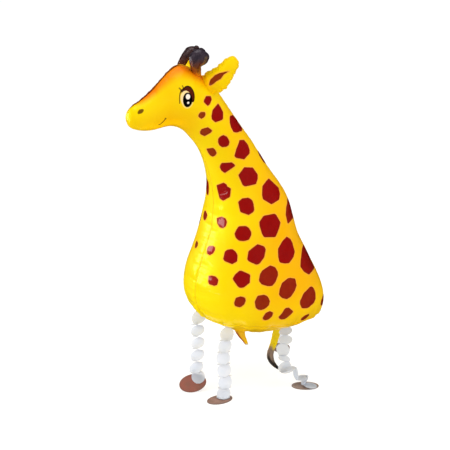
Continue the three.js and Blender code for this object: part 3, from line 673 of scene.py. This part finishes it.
# ------------------------------------------------------------------ ears
def leaf(name, root, axis, face, flip_side, seed):
    d = np.asarray(axis, float) / np.linalg.norm(axis)
    nn = np.asarray(face, float) - d * (np.asarray(face, float) @ d)
    nn /= np.linalg.norm(nn)
    v = np.cross(nn, d) * flip_side
    st = [(lo, u, hi, u, t, 1.25) for u, lo, hi, t in EAR]
    k = knots_of(st)
    cap = np.arange(1, 9) / 9 * math.pi / 2
    rim = 2.6
    a, q0, q1 = grid(st, np.linspace(0, k[-1], 84), columns(60, 0.45), 6, cap, 5, cap, inset=rim)
    al = arc(a, 0)[:, 0]
    low, high = 1 + 0.085 * wave(al, seed + 40, 15, 2), 1 + 0.085 * wave(al, seed + 41, 18, 2)
    hold = (ramp(al, 8, 26) * (1 - ramp(al, al[-1] - 8, al[-1])))[:, None]
    toward = (1 - np.cos(np.linspace(0, 2 * np.pi, a.shape[1], endpoint=False)))[None] / 2
    mid_y = (a[:, :1, 1] + a[:, a.shape[1] // 2:a.shape[1] // 2 + 1, 1]) / 2
    a[..., 1] = mid_y + (a[..., 1] - mid_y) * (1 + hold * ((low - 1)[:, None] * (1 - toward) + (high - 1)[:, None] * toward))
    m = normals_of(a)
    half_c = a.shape[1] // 2
    al = arc(a, 0)
    up_lift = np.zeros(a.shape[:2])
    for i, (lo, hi) in enumerate(((0, half_c), (half_c, a.shape[1]))):
        cells = np.arange(lo, hi + 1) % a.shape[1]
        s = arc(a[:, cells], 1)
        s0, s1 = (s, s[:, -1:] - s)
        for dist, x, sd in ((s0, al[:, lo % a.shape[1]], seed + (i == 1)), (s1, al[:, hi % a.shape[1]], seed + (i == 0))):
            x = x[:, None] + 0 * dist
            dd = 0.11 * Puckers(200, 10, sd)(x, dist, 0.9) + 0.10 * Puckers(200, 19, sd + 9)(x, dist, 0.8)
            up_lift[:, cells[:-1]] += dd[:, :-1]
    f = np.ones(len(a)); f[:6] = 0; f[-6:] = np.linspace(1, 0, 6)
    a = a + m * (up_lift * f[:, None])[..., None]
    basis = np.stack([nn, v, d])                       # x is its thickness, y across, z along
    place = lambda p: p @ basis + np.asarray(root, float)
    vv, qq, tt = skin(a, q0, q1)
    # where the mark is printed, on the face that looks forward
    u_, v_ = vv[:, 2], vv[:, 1]
    mark = polygon(u_, v_, [(0.5, 0), (6, 4.4), (13.6, 7.4), (28.3, 6.8), (42, 2.2), (55, -6.2), (61, -11.5), (46.6, -7.9),
                            (33, -9.6), (22, -6.2), (11, -5.0), (3, -2.6)])
    facing = vv[:, 0] > 0
    mark = np.where(facing, np.clip(mark - 2.2, -FAR, FAR), -FAR)
    tone = ramp(u_, -14, 40)[:, None]
    base = np.array([0.97, 0.57, 0.0]) * (1 - tone) + np.array([0.98, 0.66, 0.0]) * tone
    pv = {"base": base, "spot": mark, "tint": np.full(len(vv), 1.0)}
    # rim
    n_r = len(a)
    order = [(r, 0) for r in range(22, n_r)] + [None] + [(r, half_c) for r in range(n_r - 1, 21, -1)]
    ln = np.array([q1 if o is None else a[o[0], o[1]] for o in order])
    ln[:, 0] = 0
    tg = np.gradient(ln, axis=0)
    od = np.stack([0 * tg[:, 0], tg[:, 2], -tg[:, 1]], -1)
    od /= np.linalg.norm(od, axis=1, keepdims=True)
    cc = np.array([ln[:, 0].mean(), ln[:, 1].mean(), ln[:, 2].mean()])
    od *= np.sign(((ln - cc) * od).sum())
    bv, bq, bt = rim_strip(ln, od, np.tile([1.0, 0, 0], (len(ln), 1)), rim * 1.15, seed + 70, thick=0.4, flutter=0.5, buried=2.0)
    pr = {"base": np.tile([0.97, 0.66, 0.02], (len(bv), 1)), "spot": np.full(len(bv), -FAR), "tint": np.zeros(len(bv))}
    shells = [(place(vv), qq, tt, pv), (place(bv), bq, bt, pr)]
    shells = [(*outward(x, y, z), w) for x, y, z, w in shells]
    V_, Q_, T_, P_ = joined(shells)
    return piece(name, V_, Q_, T_, ear_material, P_, "printed_foil", ["foil_envelope"])


ear_material = printed_foil("printed_foil_ear")
leaf("ear_left", *EARS["ear_left"], 301)
leaf("ear_right", *EARS["ear_right"], 331)


# ------------------------------------------------------------------ horns
def horn_foil():
    m = Nodes("printed_foil_horn")
    col = m.attr("base", "Color")
    streak = m.noise(70, 4, 0.6, 1.2)
    col = m.mix(m.range(streak, 0.42, 0.68, 0.0, 0.5), col, m.mix(m.range(m.attr("base", "Color"), 0.05, 0.6), (0.020, 0.014, 0.026), (0.30, 0.06, 0.004)))
    crinkle = m.bump(m.noise(75, 3, 0.6, 1.0), 0.55, 0.0035)
    rough = m.range(m.noise(40, 3, 0.5), 0.3, 0.7, 0.20, 0.34)
    return m.shader(color=col, metallic=0.35, rough=rough, spec=0.55, coat=1.0, coat_rough=0.06, normal=crinkle,
                    coat_normal=crinkle)


def horn(name, sign, foot_x, foot_y, st, seed):
    k = knots_of(st)
    cap = np.arange(1, 10) / 10 * math.pi / 2
    a, q0, q1 = grid(st, np.linspace(0, k[-1], 96), columns(44, 0.35), 4, cap, 4, cap, inset=0.6)
    m = normals_of(a)
    al = arc(a, 0)
    hc = a.shape[1] // 2
    up_lift = np.zeros(a.shape[:2])
    for i, (lo, hi) in enumerate(((0, hc), (hc, a.shape[1]))):
        cells = np.arange(lo, hi + 1) % a.shape[1]
        s = arc(a[:, cells], 1)
        for dist, x, sd in ((s, al[:, lo % a.shape[1]], seed + i), (s[:, -1:] - s, al[:, hi % a.shape[1]], seed + 3 + i)):
            x = x[:, None] + 0 * dist
            dd = 0.10 * Puckers(200, 9, sd)(x, dist, 0.9) + 0.08 * Puckers(200, 17, sd + 9)(x, dist, 0.9)
            up_lift[:, cells[:-1]] += dd[:, :-1]
    f = np.ones(len(a)); f[:6] = 0; f[-8:] = np.linspace(1, 0, 8)
    a = a + m * (up_lift * f[:, None])[..., None]
    vv, qq, tt = skin(a, q0, q1)
    z = vv[:, 2]
    top, low, foot = np.array([0.062, 0.044, 0.060]), np.array([0.20, 0.050, 0.012]), np.array([1.0, 0.33, 0.0])
    if sign < 0:
        top, low = np.array([0.075, 0.036, 0.034]), np.array([0.17, 0.036, 0.006])
    w1, w2 = ramp(z, 800, 818)[:, None], ramp(z, 820, 846)[:, None]
    base = (foot * (1 - w1) + low * w1) * (1 - w2) + top * w2
    turn = np.arctan2(vv[:, 0], vv[:, 1] - np.interp(z, [795, 870], [-98, -85]))
    stroke_w = (ramp(np.sin(5 * turn + 0.05 * z), 0.55, 0.95) * ramp(z, 807, 816) * (1 - ramp(z, 832, 846)) * 0.7)[:, None]
    base = base * (1 - stroke_w) + np.array([0.10, 0.012, 0.004]) * stroke_w
    # sealed rim round the horn, in its own middle plane
    order = [(r, 0) for r in range(9, len(a))] + [None] + [(r, hc) for r in range(len(a) - 1, 8, -1)]
    ln = np.array([q1 if o is None else a[o[0], o[1]] for o in order])
    ln[:, 0] = 0
    tg = np.gradient(ln, axis=0)
    od = np.stack([0 * tg[:, 0], tg[:, 2], -tg[:, 1]], -1)
    od /= np.maximum(np.linalg.norm(od, axis=1, keepdims=True), 1e-9)
    od *= np.sign(((ln - ln.mean(0)) * od).sum())
    bv, bq, bt = rim_strip(ln, od, np.tile([1.0, 0, 0], (len(ln), 1)), 0.9, seed + 70, thick=0.35, flutter=0.2, buried=1.2)
    bz = bv[:, 2]
    b1, b2 = ramp(bz, 800, 818)[:, None], ramp(bz, 820, 846)[:, None]
    # the rim is painted darker than the horn's skin: painted shade that keeps its edge from showing lit
    rim_base = ((foot * (1 - b1) + low * b1) * (1 - b2) + top * b2) * 0.6
    shells = [(vv, qq, tt, {"base": base}), (bv, bq, bt, {"base": rim_base})]
    V_, Q_, T_, P_ = joined(shells)
    foot_w = 1 - ramp(V_[:, 2], 797, 828)
    V_ = V_ + [sign * HORN_X, 0, 0] + np.stack([foot_x * foot_w, foot_y * foot_w, 0 * foot_w], -1)
    return piece(name, V_, Q_, T_, horn_material, P_, "printed_foil", ["foil_envelope"])


horn_material = horn_foil()
for seed, (name, shape) in enumerate(HORNS.items()):
    horn(name, *shape, 401 + 20 * seed)

# ------------------------------------------------------------------ paper legs
DISC_D, LEAF_W, NECK_W, NECK_L, PAPER, AIR, FOLD_LIFT = 33.0, 34.6, 11.0, 2.4, 0.4, 0.7, 1.2
REACH = (DISC_D + NECK_L) / 2
LEGS = {
    "leg_front_left": dict(pad=(49, -30), drop=(-1, -4, -7), hoof="hoof_front_left", on=(-4.5, 14), discs=14, crowd=1, azimuth=140, sway=14, roll=-0.12, steep=5.0),
    "leg_front_right": dict(pad=(-56, -34), drop=(-4, -3, -8), hoof="hoof_front_right", on=(14, 16), discs=12, crowd=0.3, azimuth=-57, sway=5, steep=1.0),
    "leg_rear_right": dict(pad=(-74, 208), drop=(0, 0, 0), hoof="hoof_rear_right", on=(0, 2), discs=12, crowd=1, azimuth=-60, sway=12)}
TRAILING_LEG = [
    (62, 146, 122, 55), (80, 132, 106, 50), (75, 119, 77, 36), (83, 139, 57, 18), (89, 111, 38, 10),
    (102, 147, 47, -12), (117.6, 142.5, 18, -18), (117, 169, 25, -20), (129.5, 153, 7.5, -26)]
TRAILING_PAD, TRAILING_END = (93, 124), (150, 180, 3.7, -35)
HOOF_LENGTH, HOOF_WIDTH, HOOF_T = 69.0, 47.0, 2.4
HOOVES = {
    "hoof_front_left": dict(at=(70, -65), toe=-90, lean=0), "hoof_front_right": dict(at=(-19, -86), toe=167, lean=48, facing=-35),
    "hoof_rear_left": dict(at=(126, 161), toe=-125, lean=0), "hoof_rear_right": dict(at=(-112, 268), toe=-38, lean=0)}


def V(*c):
    return np.array(c, float)


def unit(a):
    return a / max(np.linalg.norm(a), 1e-9)


def bearing(deg):
    return V(math.cos(math.radians(deg)), math.sin(math.radians(deg)), 0)


coarse = plain[::4, ::4]
cv, cq, ct = skin(coarse, plain[0].mean(0), plain[-1].mean(0))
belly_tree = BVHTree.FromPolygons([Vector(p) for p in cv], [list(map(int, f)) for f in cq] + [list(map(int, f)) for f in ct])


def belly(x, y):
    hit, nn, _, _ = belly_tree.ray_cast(Vector((x, y, -10)), Vector((0, 0, 1)))
    nn = np.array(nn)
    return np.array(hit), (-nn if nn[2] > 0 else nn)


def belly_pad(x, y, towards):
    p, nn = belly(x, y)
    rim = [belly(x + DISC_D / 2 * math.cos(math.radians(30 * k)), y + DISC_D / 2 * math.sin(math.radians(30 * k))) for k in range(12)]
    nn = unit(nn + 0.5 * sum(q[1] for q in rim))
    clear = max([0.0] + [float((q[0] - p) @ nn) for q in rim])
    c = p + nn * (clear + AIR + PAPER / 2)
    d = unit(towards - nn * (towards @ nn))
    return c - d * REACH, c + d * REACH, unit(np.cross(nn, d))


def hoof_frame(at, toe, lean, facing=0):
    nn, t = V(0, 0, 1), bearing(toe)
    if lean:
        nn = bearing(facing) * math.sin(math.radians(lean)) + V(0, 0, math.cos(math.radians(lean)))
        across = np.cross(V(0, 0, 1), bearing(facing))
        up = np.cross(nn, across)
        t = -(-across * math.cos(math.radians(toe)) + up * math.sin(math.radians(toe)))
    t = unit(t - nn * (t @ nn))
    side = np.cross(nn, t)
    return V(*at, math.hypot(HOOF_LENGTH / 2 * t[2], HOOF_WIDTH / 2 * side[2])), t, side, nn


FRAMES = {k: hoof_frame(**v) for k, v in HOOVES.items()}


def TILT(d):
    """Which way a fold moves so that the leaves facing out to the front left hang the steeper."""
    return -1.0 if d @ bearing(-35) > 0 else 1.0


def folded_leg(pad, drop, hoof, on, discs, crowd, azimuth, sway, roll=0.0, steep=0.0):
    turn = lambda k: azimuth + sway * math.sin(k * 2.4)
    swing_to = lambda k: bearing(turn(k)) * (-1 if k % 2 else 1)
    free, fold, top_line = belly_pad(*pad, swing_to(1))
    c, t, side, nn = FRAMES[hoof]
    seat = c + nn * (HOOF_T + AIR + PAPER / 2)
    if nn[2] < 0.99:
        up = unit(V(0, 0, 1) - nn * nn[2])
        seat = seat + np.cross(up, nn) * on[0] + up * on[1]
    else:
        seat = seat + V(*on, 0)
    last = swing_to(discs - 1) if nn[2] > 0.99 else V(0, 0, 1)
    last = unit(last - nn * (last @ nn))
    foot_fold, foot_free = seat + last * REACH + nn * FOLD_LIFT, seat - last * REACH
    a, b = fold - swing_to(1) * DISC_D / 2 + V(*drop), foot_fold.copy()
    pitch = np.linalg.norm(a - b) / (discs - 3 + crowd)
    swing = 0.5 * math.sqrt(max(0, (2 * REACH) ** 2 - pitch ** 2 - (2 * steep) ** 2))
    b = b - swing_to(discs - 1) * swing
    folds, across = [free], [top_line]
    for k in range(1, discs):
        f = (k - 1) / (discs - 3 + crowd)
        folds.append(fold if k == 1 else foot_fold if k == discs - 1 else
                     a + (b - a) * f + swing_to(k) * swing + V(0, 0, steep * TILT(swing_to(k))))
        lean = V(0, 0, roll * (1 + 0.5 * math.sin(1.7 * k)) * (1 if 1 < k < discs - 2 else 0.3))
        across.append(top_line if k == 1 else np.cross(nn, last) if k == discs - 1 else unit(bearing(turn(k) + 90) + lean))
    folds.append(foot_free)
    across.append(across[-1].copy())
    return folds, across


def trailing_leg():
    first = V(*TRAILING_LEG[0][:3])
    free, fold, line = belly_pad(*TRAILING_PAD, first - belly(*TRAILING_PAD)[0])
    folds, across = [free, fold], [line, line.copy()]
    for x, y, z, deg in TRAILING_LEG:
        folds.append(V(x, y, z)); across.append(bearing(deg))
    folds.append(V(*TRAILING_END[:3])); across.append(bearing(TRAILING_END[3]))
    return folds, across


def sheet_shell(mid, nrm, thick):
    """A thin closed sheet from a grid of points (rows, columns) and their normals."""
    r, c = mid.shape[:2]
    top, low = mid + nrm * thick / 2, mid - nrm * thick / 2
    verts = np.concatenate([top.reshape(-1, 3), low.reshape(-1, 3)])
    i = np.arange(r * c).reshape(r, c)
    a, b, d, e = i[:-1, :-1], i[:-1, 1:], i[1:, 1:], i[1:, :-1]
    up = np.stack([a, b, d, e], -1).reshape(-1, 4)
    quads = [up, up[:, ::-1] + r * c]
    loop = np.concatenate([i[0, :-1], i[:-1, -1], i[-1, :0:-1], i[:0:-1, 0]])
    nxt = np.roll(loop, -1)
    quads.append(np.stack([nxt, loop, loop + r * c, nxt + r * c], -1))
    return outward(verts, np.concatenate(quads), np.zeros((0, 3), int))


def paper_leg(name, folds, across, material, seed, grey=0.12):
    rng = np.random.default_rng(seed)
    across = [np.array(a, float) for a in across]
    for k in range(1, len(across)):
        if across[k] @ across[k - 1] < 0:
            across[k] = -across[k]
    steps, lanes = 22, 9
    mids, nrms, ws = [], [], []
    count = len(folds) - 1
    shade = []
    for k in range(count):
        a, b = folds[k], folds[k + 1]
        length, d = np.linalg.norm(b - a), unit(b - a)
        curl = rng.uniform(-1.3, 1.3) if 0 < k < count - 1 else 0.0
        cup = rng.uniform(0.2, 1.1) if 0 < k < count - 1 else 0.1
        tilt = rng.uniform(-0.05, 0.05)
        for i in range(0 if k == 0 else 1, steps + 1):
            ang = i / steps * math.pi
            s = length * (1 - math.cos(ang)) / 2
            e = 2 * s / length - 1
            end = (k == 0 and i == 0) or (k == count - 1 and i == steps)
            hw = max(3.0 if end else NECK_W / 2, LEAF_W / 2 * math.sqrt(max(0, 1 - e * e)))
            w = across[k] * (1 - i / steps) + across[k + 1] * (i / steps)
            w = unit(w - d * (w @ d))
            nn = np.cross(d, w)
            w2 = unit(w + nn * tilt * math.sin(ang))
            lane = np.linspace(-1, 1, lanes)
            p = a + d * s + nn * (curl * math.sin(ang) ** 2)
            row = p + w2[None] * (lane * hw)[:, None] + nn[None] * (cup * (lane ** 2 * math.sin(ang) ** 2))[:, None]
            mids.append(row)
            nrms.append(np.tile(nn, (lanes, 1)))
            shade.append(np.full(lanes, k))
    mids, nrms = np.array(mids), np.array(nrms)
    tn = np.cross(np.gradient(mids, axis=0), np.gradient(mids, axis=1))
    tn /= np.maximum(np.linalg.norm(tn, axis=2, keepdims=True), 1e-9)
    blend = tn * np.sign((tn * nrms).sum(2, keepdims=True))
    v, q, t = sheet_shell(mids, blend, PAPER)
    leaf_no = np.concatenate([np.array(shade).ravel()] * 2)
    # tone darkens the paper towards blue-grey as painted shade: most on the top leaves under the belly, over a whole
    # leg by grey, with a leaf-to-leaf swing from the sine
    tone = np.clip(grey + 0.10 * np.sin(2.1 * leaf_no) + np.interp(leaf_no, [0, 2, 4], [0.4, 0.3, 0.0]), 0, 1)
    return piece(name, v, q, t, material, {"tone": tone}, "white_paper", [name], smooth=False)


def paper(name):
    m = Nodes(name)
    fibre = m.noise(900, 3, 0.7)
    cloud = m.noise(45, 3, 0.5)
    col = m.mix(m.range(cloud, 0.3, 0.7), (0.66, 0.705, 0.78), (0.71, 0.735, 0.80))
    # painted shade: the paper is darkened towards blue-grey where its tone is high
    col = m.mix(m.attr("tone"), col, (0.43, 0.48, 0.56))
    col = m.mix(m.range(fibre, 0.35, 0.7, 0.0, 0.12), col, (0.50, 0.52, 0.56))
    b = m.bump(fibre, 0.18, 0.0002)
    b = m.bump(cloud, 0.25, 0.0008, b)
    m.put(m.bsdf.inputs["Subsurface Weight"], 0.6)
    m.put(m.bsdf.inputs["Subsurface Radius"], (0.006, 0.006, 0.006))
    m.put(m.bsdf.inputs["Subsurface Scale"], 1.0)
    return m.shader(color=col, rough=m.range(cloud, 0.3, 0.7, 0.42, 0.58), spec=0.35, sheen=0.1, normal=b)


paper_material = paper("pearl_paper")
for seed, (name, leg) in enumerate(LEGS.items()):
    paper_leg(name, *folded_leg(**leg), paper_material, 500 + seed)
# the trailing rear leg is painted darker all over, as painted shade
paper_leg("leg_rear_left", *trailing_leg(), paper_material, 520, grey=0.8)


# ------------------------------------------------------------------ card hooves
def card(name):
    m = Nodes(name)
    fibre = m.noise(600, 4, 0.7)
    cloud = m.noise(38, 3, 0.6)
    col = m.mix(m.range(cloud, 0.3, 0.72), m.attr("base", "Color"), m.mix(0.5, m.attr("base", "Color"), (0.13, 0.075, 0.05)))
    col = m.mix(m.range(fibre, 0.4, 0.7, 0.0, 0.3), col, (0.30, 0.19, 0.14))
    b = m.bump(fibre, 0.35, 0.0003)
    return m.shader(color=col, rough=m.range(fibre, 0.3, 0.7, 0.5, 0.7), spec=0.4, normal=b)


def hoof(name, frame_, colour, material):
    c, t, side, nn = frame_
    n_a = 120
    ang = np.arange(n_a) / n_a * 2 * math.pi
    bevel = 0.55
    rings = []
    # from the middle of the underside, out round the edge and back over the top
    profile = [(0.0, 0.0), (0.35, 0.0), (0.7, 0.0), (0.93, 0.0), (1.0, -bevel, 0.0), (1.0, 0.0, bevel), (1.0, 0.0, HOOF_T - bevel),
               (1.0, -bevel, HOOF_T), (0.93, HOOF_T), (0.7, HOOF_T), (0.35, HOOF_T), (0.0, HOOF_T)]
    for p in profile[1:-1]:
        f, inset, h = (p[0], 0.0, p[1]) if len(p) == 2 else p
        a, b = HOOF_LENGTH / 2 * f + inset, HOOF_WIDTH / 2 * f + inset
        rings.append(np.stack([a * np.cos(ang), b * np.sin(ang), np.full(n_a, h)], -1))
    g_ = np.array(rings)
    v, q, tt = skin(g_, V(0, 0, 0), V(0, 0, HOOF_T))
    world = v[:, :1] * t + v[:, 1:2] * side + v[:, 2:3] * nn + c
    # painted shade: the card is darkened by nearly half towards its edge
    edge = ramp(np.hypot(v[:, 0] / (HOOF_LENGTH / 2), v[:, 1] / (HOOF_WIDTH / 2)), 0.9, 1.0)[:, None]
    base = np.asarray(colour) * (1 - 0.45 * edge)
    v, q, tt = outward(world, q, tt)
    return piece(name, v, q, tt, material, {"base": base}, "brown_card", [name])


card_material = card("brown_card")
# each hoof's colour is partly the card's own and partly painted light and shade for where it stands; the rear right
# one, in shade behind the rear legs, is painted darkest
for name, colour in (("hoof_front_left", (0.33, 0.19, 0.155)), ("hoof_front_right", (0.31, 0.080, 0.052)),
                     ("hoof_rear_left", (0.37, 0.27, 0.22)), ("hoof_rear_right", (0.20, 0.10, 0.07))):
    hoof(name, FRAMES[name], colour, card_material)

# ------------------------------------------------------------------ tail and filling tab
TAIL = [(0, 158, 141.5, 186, 141.5), (1, 156, 128, 184, 124), (5, 147, 108, 173, 102), (11, 137, 91, 161, 86),
        (18, 124.5, 76, 146, 69), (24, 115, 63, 137, 60), (29, 113.5, 52, 134, 49), (33, 119, 40, 136.5, 38),
        (36, 128, 30, 142, 29), (38.5, 140, 20.5, 149, 20), (40, 152, 14.5, 156.5, 14)]
TAB = [(44, -4, 166, 26, 160), (45, -1, 160, 29, 152), (46, 8, 145, 30, 142), (47, 20, 130, 34, 130), (48, 29, 117, 38, 116)]


def strip(name, rows_, thick, n_rows, lanes, crinkle, seed, colour, material, slot):
    """A flat foil strip with sealed edges: stations give x and the two edges in (y, z)."""
    r = np.asarray(rows_, float)
    mid = (r[:, 1:3] + r[:, 3:5]) / 2
    k = np.concatenate([[0], np.cumsum(np.hypot(*np.diff(mid, axis=0).T))])
    f = spline(k, r)
    t = np.linspace(0, k[-1], n_rows)
    s = f(t)
    lane = np.linspace(0, 1, lanes)
    g_ = np.zeros((n_rows, lanes, 3))
    g_[..., 0] = s[:, :1]
    g_[..., 1] = s[:, 1:2] + (s[:, 3:4] - s[:, 1:2]) * lane
    g_[..., 2] = s[:, 2:3] + (s[:, 4:5] - s[:, 2:3]) * lane
    tn = np.cross(np.gradient(g_, axis=0), np.gradient(g_, axis=1))
    tn /= np.maximum(np.linalg.norm(tn, axis=2, keepdims=True), 1e-9)
    tn *= np.sign(tn[..., :1])
    x, y = t[:, None] + 0 * lane, lane[None] + 0 * t[:, None]
    bend = crinkle * (0.55 * wave(x + 9 * y, seed, 34) * np.sin(np.pi * y) + 0.45 * wave(x - 12 * y, seed + 1, 15))
    keep = ramp(x, 0, 8)
    g_ = g_ + tn * (bend * keep)[..., None]
    pillow = thick * (0.35 + 0.65 * np.sin(np.pi * y) ** 0.5)
    tn2 = np.cross(np.gradient(g_, axis=0), np.gradient(g_, axis=1))
    tn2 /= np.maximum(np.linalg.norm(tn2, axis=2, keepdims=True), 1e-9)
    tn2 *= np.sign(tn2[..., :1])
    v, q, tt = sheet_shell(g_, tn2 * pillow[..., None], 1.0)
    base = colour(t / k[-1], lane)
    base = np.concatenate([base.reshape(-1, 3)] * 2)
    return piece(name, v, q, tt, material, {"base": base}, slot, [name])


def tail_colour(t, lane):
    t = t[:, None, None] + 0 * lane[None, :, None]
    y = lane[None, :, None] + 0 * t
    yellow, grey, black, tip = np.array([1.0, 0.76, 0.0]), np.array([0.30, 0.21, 0.16]), np.array([0.014, 0.012, 0.015]), np.array([0.5, 0.5, 0.5])
    w = ramp(t + 0.03 * np.sin(6 * y), 0.44, 0.55)
    c = yellow * (1 - w) + grey * w
    w = ramp(t + 0.06 * np.sin(7 * y), 0.60, 0.74)
    c = c * (1 - w) + black * w
    edge = np.maximum(ramp(y, 0.80, 1.0), 1 - ramp(y, 0.0, 0.16)) * ramp(t, 0.55, 0.65) * 0.8
    c = c * (1 - edge) + np.array([0.16, 0.16, 0.16]) * edge
    w = ramp(t, 0.93, 0.98)
    return c * (1 - w) + tip * w


def tab_colour(t, lane):
    t = t[:, None, None] + 0 * lane[None, :, None]
    y = lane[None, :, None] + 0 * t
    c = np.array([1.0, 0.58, 0.0]) + 0 * t
    w = (1 - ramp(y, 0.10, 0.36)) * ramp(t, 0.05, 0.3)
    c = c * (1 - w) + np.array([0.42, 0.05, 0.004]) * w
    w = ramp(t, 0.90, 0.97)
    return c * (1 - w) + np.array([0.8, 0.72, 0.55]) * w


def strip_foil():
    m = Nodes("strip_foil")
    col = m.attr("base", "Color")
    col = m.mix(m.range(m.noise(120, 3, 0.6), 0.4, 0.7, 0.0, 0.10), col, (0.45, 0.27, 0.06))
    b = m.bump(m.noise(110, 3, 0.6, 0.8), 0.5, 0.0015)
    return m.shader(color=col, metallic=0.2, rough=m.range(m.noise(60, 2, 0.5), 0.3, 0.7, 0.25, 0.42), spec=0.4, coat=0.7,
                    coat_rough=0.08, normal=b, coat_normal=b)


strip_material = strip_foil()
strip("tail", TAIL, 1.6, 130, 17, 1.1, 71, tail_colour, strip_material, "strip_foil")
strip("filling_tab", TAB, 1.2, 60, 13, 0.8, 81, tab_colour, strip_material, "strip_foil")

# ------------------------------------------------------------------ floor, light and camera
floor_me = bpy.data.meshes.new("studio_floor")
segs, radius = 96, 24.0
fv = [(0, 0, 0)] + [(radius * math.cos(2 * math.pi * k / segs), radius * math.sin(2 * math.pi * k / segs), 0) for k in range(segs)]
floor_me.from_pydata(fv, [], [(0, 1 + k, 1 + (k + 1) % segs) for k in range(segs)])
floor = bpy.data.objects.new("studio_floor", floor_me)
scene.collection.objects.link(floor)
m = Nodes("pale_floor")
floor_me.materials.append(m.shader(color=m.mix(m.range(m.noise(3, 2, 0.5), 0.3, 0.7), (0.46, 0.46, 0.46), (0.49, 0.49, 0.49)),
                                   rough=0.9, spec=0.1, emit=(1.0, 1.0, 1.0), emit_strength=0.58))
floor.visible_glossy = False

world = bpy.data.worlds.new("studio")
scene.world = world
world.use_nodes = True
world.node_tree.nodes["Background"].inputs[0].default_value = (1.0, 1.0, 1.0, 1.0)
world.node_tree.nodes["Background"].inputs[1].default_value = 1.0
world.cycles_visibility.glossy = False

CENTRE = Vector((0.0, -0.0114, 0.424))


def direction(az, el):
    a, e = math.radians(az), math.radians(el)
    return Vector((math.sin(a) * math.cos(e), -math.cos(a) * math.cos(e), math.sin(e)))


def softbox(name, az, el, distance, width, height, watts, at=CENTRE, glossy=True, colour=(1, 1, 1)):
    data = bpy.data.lights.new(name, "AREA")
    data.shape, data.size, data.size_y, data.energy, data.color = "RECTANGLE", width, height, watts, colour
    ob = bpy.data.objects.new(name, data)
    ob.location = at + direction(az, el) * distance
    ob.rotation_euler = (at - ob.location).to_track_quat("-Z", "Y").to_euler()
    ob.visible_glossy = glossy
    scene.collection.objects.link(ob)
    return ob


softbox("key_left", -52, 8.5, 2.0, 1.02, 0.60, 8.0)
softbox("window_high", -25, 3, 2.0, 0.52, 0.15, 1.25)
softbox("window_low", -25, -4, 2.0, 0.46, 0.12, 0.7)
softbox("low_left", -8, -15, 2.0, 0.9, 0.11, 1.3)
softbox("front_fill", -20, 25, 2.6, 1.8, 1.8, 22, glossy=False)
softbox("side_fill", 75, 20, 2.6, 1.8, 1.8, 7, glossy=False)
softbox("back_fill", 130, 33, 2.6, 1.8, 1.8, 17, glossy=False)
softbox("overhead", 20, 84, 2.2, 1.4, 1.4, 6)

cam_data = bpy.data.cameras.new("camera")
cam_data.lens, cam_data.sensor_width, cam_data.sensor_fit = 91.24, 36.0, "AUTO"
cam_data.clip_end = 100
cam = bpy.data.objects.new("camera", cam_data)
cam.location = CENTRE + direction(55, 16) * 2.8
cam.rotation_euler = (CENTRE - cam.location).to_track_quat("-Z", "Y").to_euler()
scene.collection.objects.link(cam)
scene.camera = cam
scene.view_settings.view_transform = "Standard"
